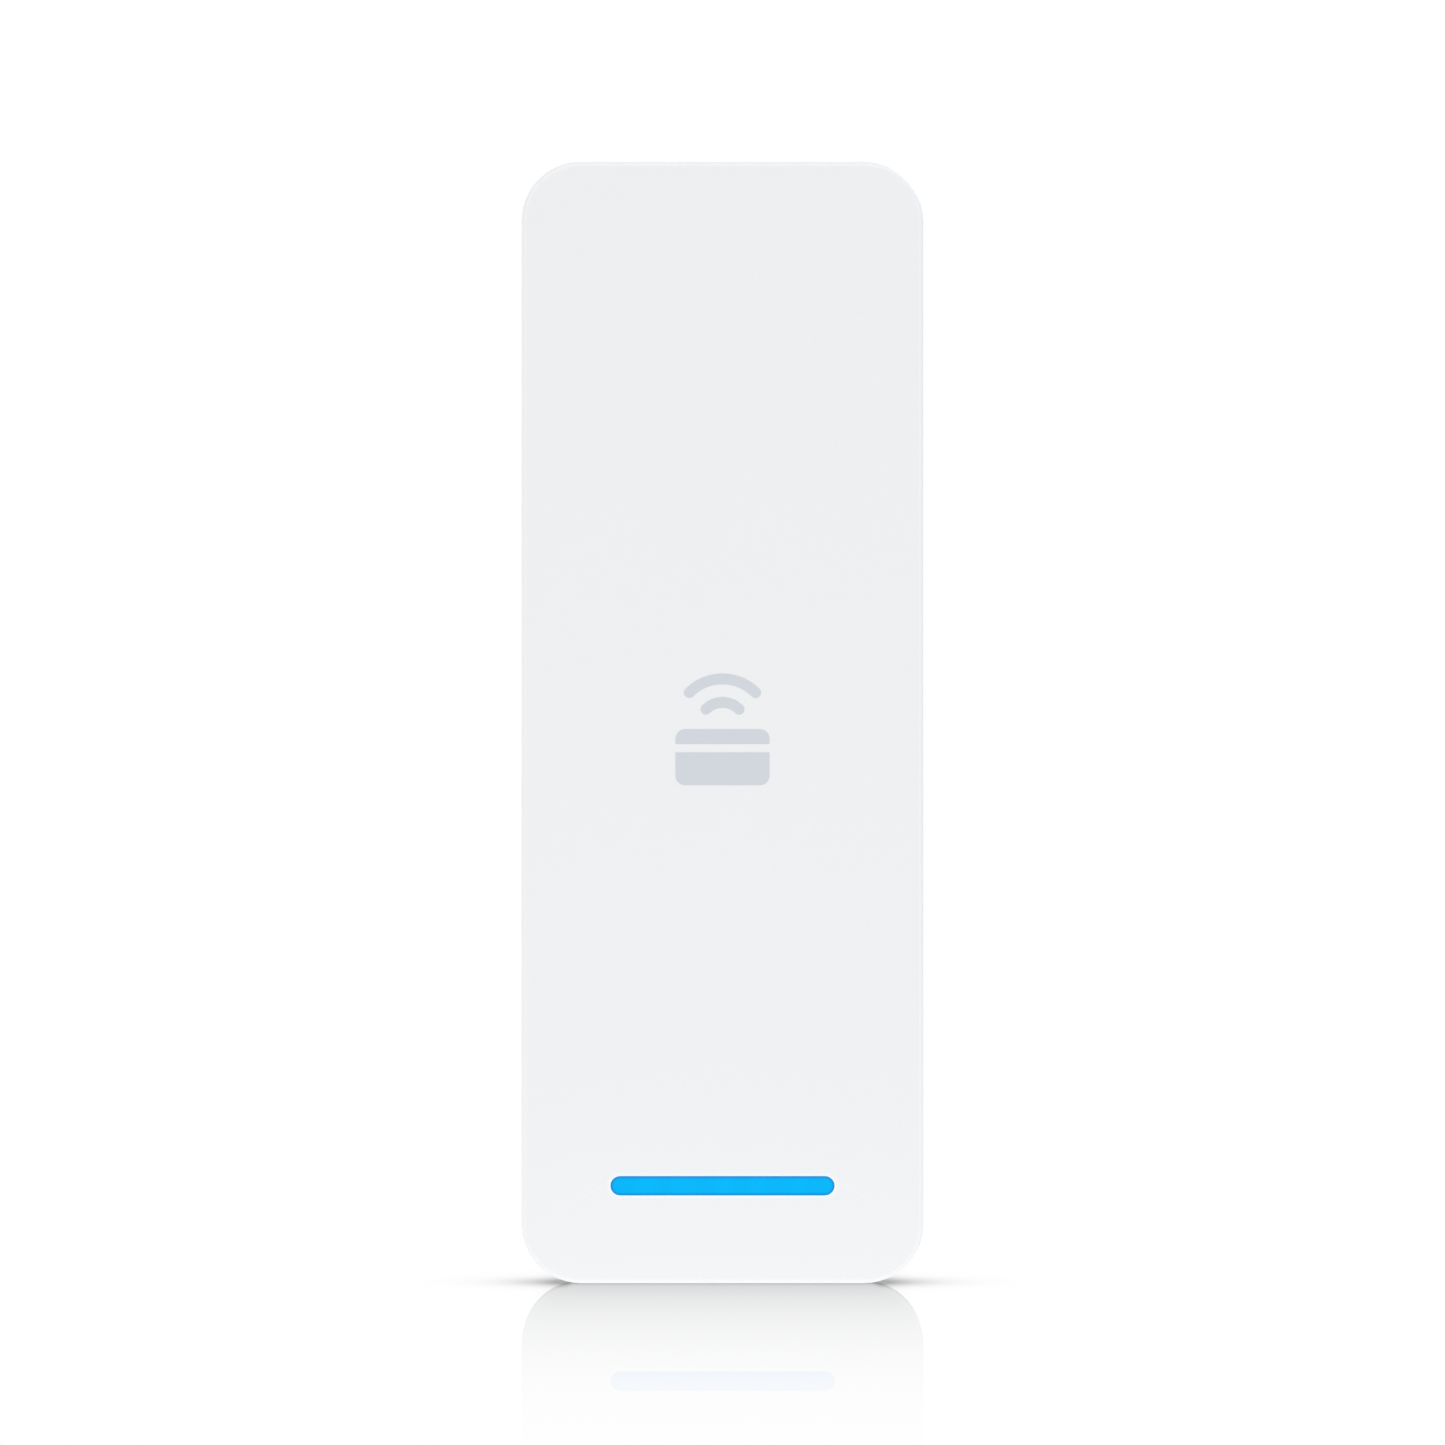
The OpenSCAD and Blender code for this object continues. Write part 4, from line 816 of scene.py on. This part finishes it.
def housing_screw_set():
    """Four pan-head thread-forming screws with six-lobed recesses."""
    low, high = box_mm("housing_screws")
    head = 2.1
    shank = 1.1
    drive = 0.95
    face = high.y
    seat = face - 1.45
    stations = [(0.0, face - 0.9), (star(drive * 0.93), face - 0.9), (star(drive), face - 0.8)]
    stations += [(star(drive), face - 0.08), (star(drive, 0.07), face)]
    stations += arc(1.25, face, head, face - 0.55)
    stations += [(head, seat + 0.08), (head - 0.07, seat), (shank + 0.1, seat), (shank - 0.2, seat - 0.15)]
    stations += threaded(shank, 0.26, 0.9, low.y + 1.1, seat - 0.2, per_turn=12, taper=0.5)[::-1]
    stations += [(0.55, low.y + 0.5), (0.3, low.y + 0.1), (0.0, low.y)]
    upper = (high.x - head, high.z - head)
    lower = (15.2, low.z + head)
    places = [(side * x, 0, z) for side in (-1, 1) for x, z in (upper, lower)]
    stacks = [(turned(stations, place, "y", 60), False) for place in places]
    add_piece(skin("housing_screws", *stacks), "housing_screws", sharp=38)


def stadium(length, height, y, steps=20):
    """Loop round the light bar's middle: straight along the top and bottom, with round ends."""
    radius = height / 2
    loop = []
    for side in (1, -1):
        for k in range(steps + 1):
            angle = side * math.pi / 2 - math.pi * k / steps
            x = side * (length / 2 - radius) + radius * math.cos(angle)
            loop.append(Vector((x, y, BAR_Z + radius * math.sin(angle))))
    return loop


def crowned_lens():
    """Light bar lens: flange behind the wall, body through the opening, and a slightly crowned face."""
    low, high = box_mm("light_bar")
    room = 0.1
    front = low.y
    step = high.y - 0.7
    # Each section is its outline's inset and its place along Y.
    flange = [(0.15, high.y), (0.0, high.y - 0.1), (0.0, step + 0.1), (0.12, step)]
    body = [(0.0, step), (0.0, front + 0.10), (0.03, front + 0.03), (0.12, front - 0.02)]
    body += [(0.34, front - 0.045), (0.62, front - 0.055), (0.9, front - 0.058)]
    flange_size = (high.x - low.x, high.z - low.z)
    body_size = (BAR_LENGTH - room, BAR_HEIGHT - room)
    loops = []
    for (length, height), sections in ((flange_size, flange), (body_size, body)):
        for inset, y in sections:
            loops.append(stadium(length - 2 * inset, height - 2 * inset, y))
    add_piece(skin("light_bar", (loops, False)), "light_bar", sharp=50)


def coil_spring():
    """Plunger spring: a wire coil with closed ends."""
    low, high = box_mm("tamper_spring")
    middle = centre_mm("tamper_spring")
    wire = 0.2
    turns = 3.25
    closed_turns = 0.75
    steps = 150
    around = 10
    radius = (high.x - low.x) / 2 - wire
    loops = []
    for k in range(steps + 1):
        turned_by = turns * k / steps
        climb = min(1.0, max(0.0, (turned_by - closed_turns) / (turns - 2 * closed_turns)))
        y = low.y + wire + (high.y - low.y - 2 * wire) * climb
        angle = 2 * math.pi * turned_by
        out = Vector((math.cos(angle), 0, math.sin(angle)))
        centre = Vector((middle.x, y, middle.z)) + out * radius
        loops.append([])
        for m in range(around):
            round_wire = 2 * math.pi * m / around
            side = out * math.cos(round_wire) + Vector((0, 1, 0)) * math.sin(round_wire)
            loops[-1].append(centre + side * wire)
    piece = add_piece(skin("tamper_spring", (loops, False)), "tamper_spring", sharp=32, rides=False)
    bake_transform(piece)


def rounded_square(side, radius, y, centre_x, centre_z, steps=6):
    """Loop round a square with rounded corners, facing the rear."""
    loop = []
    reach = side / 2 - radius
    for quarter, (side_x, side_z) in enumerate(((1, 1), (-1, 1), (-1, -1), (1, -1))):
        for k in range(steps + 1):
            angle = math.pi / 2 * (quarter + k / steps)
            x = centre_x + side_x * reach + radius * math.cos(angle)
            z = centre_z + side_z * reach + radius * math.sin(angle)
            loop.append(Vector((x, y, z)))
    return loop


def capacitor_cans():
    """Two electrolytic capacitors: moulded bases, and crimped cans with a rounded rim and a scored vent."""
    low, high = box_mm("bulk_capacitors")
    width = high.z - low.z
    middle_z = centre_mm("bulk_capacitors").z
    radius = width / 2 - 0.1
    rim = high.y - 0.06
    base_top = low.y + 0.8
    waist = radius - 0.34

    def score(angle):
        on_arm = abs(math.cos(1.5 * angle)) > 0.97
        return rim - 0.10 if on_arm else rim

    can = [(0.0, base_top - 0.2), (radius, base_top - 0.2), (radius, base_top + 0.5)]
    can += [(radius - 0.12, base_top + 0.75), (waist, base_top + 1.0), (waist, base_top + 1.25)]
    can += [(radius - 0.1, base_top + 1.55), (radius, base_top + 1.8), (radius, high.y - 0.6)]
    can += arc(radius, high.y - 0.6, radius - 0.6, high.y, 6, radius_first=False)
    can += [(radius - 0.75, rim), (radius * 0.7, score), (radius * 0.25, score), (0.0, rim)]
    base = [(0.06, low.y), (0.0, low.y + 0.1), (0.0, base_top - 0.1), (0.08, base_top)]
    stacks = []
    for x in (low.x + width / 2, high.x - width / 2):
        stacks.append((turned(can, (x, 0, middle_z), "y", 72), False))
        loops = [rounded_square(width - 2 * inset, 0.9, y, x, middle_z) for inset, y in base]
        stacks.append((loops, False))
    add_piece(skin("bulk_capacitors", *stacks), "bulk_capacitors", sharp=35)


# How much each CAD node's hard edges are rounded.
EDGE_WIDTHS = {
    "front_cover": 0.10, "rear_housing": 0.12, "wall_bracket": 0.18, "bay_gasket": 0.22,
    "housing_seal": 0.12, "jack_shell": 0.05, "jack_insulator": 0.05, "jack_contacts": 0.05,
    "terminal_header": 0.10, "terminal_plug": 0.16, "plug_clamps": 0.04, "header_pins": 0.10,
    "light_guide": 0.08, "light_bar_seal": 0.08, "board_frame": 0.10, "processor_shield": 0.05,
    "processor_chip": 0.05, "reader_chip": 0.03, "memory_chips": 0.04, "network_chip": 0.03,
    "clock_crystals": 0.12, "chip_components": 0.05, "transformer_core": 0.15,
    "transformer_winding": 0.30, "power_inductor": 0.12, "lock_relay": 0.20, "buzzer_case": 0.20,
    "tamper_switch": 0.12, "reset_switch": 0.08, "reset_button": 0.15,
    "tamper_plunger": 0.18, "screw_seal": 0.20, "status_leds": 0.05, "vent_membrane": 0.03,
    "antenna_connector": 0.08, "buzzer_disc": 0.03, "release_button_1": 0.16,
    "release_button_2": 0.16, "release_button_3": 0.16, "release_button_4": 0.16,
}
for node, width in EDGE_WIDTHS.items():
    rounded_copy(node, width)
security_screw()
clinch_nut()
riveted_pin()
housing_screw_set()
crowned_lens()
coil_spring()
capacitor_cans()


# ---------------------------------------------------------------- stage, light and camera

# The object's depth and the middle of it. Its rounded corners lift the rest of its width off the floor.
DEPTH = (cad_high.y - cad_low.y) / MM
MIDDLE_Y = (cad_low.y + cad_high.y) / 2 / MM
FOOT_HALF_WIDTH = cad_high.x / MM - 5.5
# Brightness of the floor and of the backdrop where the camera sees them.
FLOOR_WHITE = 1.005
BACKDROP_WHITE = 1.02
# Light that the floor throws on the object: everywhere, more near the object, and this share of it behind.
FLOOR_LIGHT = 0.92
FLOOR_POOL = 0.17
FLOOR_BACK = 0.60
# The floor's mirror: its brightness, the share of that which it loses straight in front of the object, its
# greatest share of what is seen, and the distance over which it fades.
MIRROR_TINT = 0.72
MIRROR_LOSS = 0.115
MIRROR_SHARE = 0.82
MIRROR_REACH = 165.0
# Light from the world in front of the object, beside it and behind it.
WORLD_FRONT = 1.385
WORLD_SIDE = 0.42
WORLD_BACK = 0.65


def contact_shadow(g, side, level_view):
    """Share of the floor's white that is lost under and beside the object. In a nearly level view it also
    runs forward from the object's corners."""
    x, y, z = g.split(g.world_place)
    # Along Y the shade is full up to this distance inside the front and the rear, and fades from there.
    full_inside = 6.0
    from_middle = g.less(y, MIDDLE_Y)
    at_foot = g.fade(g.beyond(from_middle, DEPTH / 2 - full_inside), 5.6)
    at_corner = g.bell(g.less(y, cad_low.y / MM + full_inside), 16.3)
    along = g.blend(g.times(g.band(side, 0.0, 1.2), level_view), at_foot, at_corner)
    # Sideways a dark core fades fast, and a faint wide shade fades slowly.
    core = g.times(g.times(g.fade(side, 6.06), g.bell(side, 9.25)), along)
    core = g.math("MINIMUM", g.times(core, 0.748), 0.50)
    wide = g.times(g.fade(side, 8.0), g.fade(g.beyond(from_middle, DEPTH / 2), 25.0))
    return g.add(core, g.times(wide, 0.05))


def white_floor():
    """Glossy white studio floor that darkens only where it meets and mirrors the object. What the camera
    sees and what lights the object are set apart, so the shadow doesn't darken the object's own face."""
    g = material_graph("studio_floor")
    x, y, z = g.split(g.world_place)
    side = g.beyond(x, FOOT_HALF_WIDTH)
    deep = g.beyond(g.less(y, MIDDLE_Y), DEPTH / 2)
    away = g.size(side, deep)
    steepness = g.math("ABSOLUTE", g.vector("DOT_PRODUCT", g.incoming, (0.0, 0.0, 1.0)))
    fresnel = g.math("POWER", g.less(1.0, steepness), 4.0)
    level_view = g.band(fresnel, 0.55, 0.85)
    left = g.less(1.0, contact_shadow(g, side, level_view))
    pool = g.add(FLOOR_LIGHT, g.times(g.fade(away, 70.0), FLOOR_POOL))
    pool = g.times(pool, g.band(y, -20.0, 60.0, 1.0, FLOOR_BACK))
    to_camera = g.path["Is Camera Ray"]
    strength = g.blend(to_camera, pool, g.times(left, FLOOR_WHITE))
    paper = g.shader("Emission", Color=(1.0, 1.0, 1.0), Strength=strength)
    ahead = g.times(g.band(side, 1.0, 4.5, 1.0, 0.0), g.fade(deep, 95.0))
    tint = g.less(1.0, g.times(g.times(ahead, level_view), MIRROR_LOSS))
    tint = g.times(g.times(tint, left), MIRROR_TINT)
    mirror = g.shader("BsdfGlossy", Color=tint, Roughness=0.0)
    share = g.times(g.times(fresnel, g.fade(away, MIRROR_REACH)), to_camera)
    both = g.tree.nodes.new("ShaderNodeMixShader")
    for socket, value in zip(both.inputs, (g.times(share, MIRROR_SHARE, clamp=True), paper, mirror)):
        g.feed(socket, value)
    return g.finish(both.outputs[0])


def studio_floor():
    """The floor, a hair below the object's lowest face."""
    bpy.ops.mesh.primitive_plane_add(size=40.0, location=(0, 0, cad_low.z - 0.02 * MM))
    floor = bpy.context.object
    floor.name = "studio_floor"
    floor.data.materials.append(white_floor())


def studio_world():
    """White backdrop for the camera. Light comes mostly from the front and softer from behind. What rough
    metal mirrors has a bright ceiling and front and darker sides, so that its shape reads."""
    world = bpy.data.worlds.new("studio")
    bpy.context.scene.world = world
    g = Graph(world)
    # In a direction, Y is -1 in front and 1 behind, and Z is 1 overhead.
    x, y, z = g.split(g.direction)
    lighting = g.add(g.band(y, -0.05, -0.60, WORLD_SIDE, WORLD_FRONT),
                     g.band(y, 0.10, 0.80, 0.0, WORLD_BACK - WORLD_SIDE))
    sheen = g.add(g.band(z, 0.10, 0.75, 0.30, 1.25), g.band(y, -0.15, -0.80, 0.0, 0.75))
    strength = g.blend(g.path["Is Glossy Ray"], lighting, sheen)
    strength = g.blend(g.path["Is Singular Ray"], strength, 1.0 / MIRROR_TINT)
    strength = g.blend(g.path["Is Camera Ray"], strength, BACKDROP_WHITE)
    g.finish(g.shader("Background", Color=(1.0, 1.0, 1.0), Strength=strength))


def softbox(name, place, width, height, power):
    """A rectangular area light aimed at the object's middle."""
    light = bpy.data.lights.new(name, "AREA")
    light.shape = "RECTANGLE"
    light.size = width
    light.size_y = height
    light.energy = power
    lamp = bpy.data.objects.new(name, light)
    bpy.context.scene.collection.objects.link(lamp)
    lamp.location = place
    lamp.rotation_mode = "QUATERNION"
    lamp.rotation_quaternion = (-Vector(place)).to_track_quat("-Z", "Y")
    lamp.visible_camera = False


def front_camera():
    """Camera straight in front and far off. shown_share is the object's share of the picture's height."""
    distance = 2.2
    sensor = 36.0
    shown_share = 0.7762
    lens = bpy.data.cameras.new("camera")
    lens.sensor_width = sensor
    lens.lens = shown_share * sensor * distance / (cad_high.z - cad_low.z)
    lens.clip_start = 0.05
    lens.clip_end = 100.0
    camera = bpy.data.objects.new("camera", lens)
    bpy.context.scene.collection.objects.link(camera)
    camera.location = (0.0, cad_low.y - distance, (cad_low.z + cad_high.z) / 2)
    camera.rotation_euler = (math.radians(90), 0, 0)
    bpy.context.scene.camera = camera


studio_floor()
studio_world()
softbox("back_key", (0.50, 0.60, 0.50), 0.25, 0.35, 3.2)
softbox("back_fill", (-0.7, 0.50, 0.10), 0.2, 0.5, 0.9)
front_camera()
bpy.context.scene.view_settings.view_transform = "Standard"
bpy.context.scene.view_settings.look = "None"
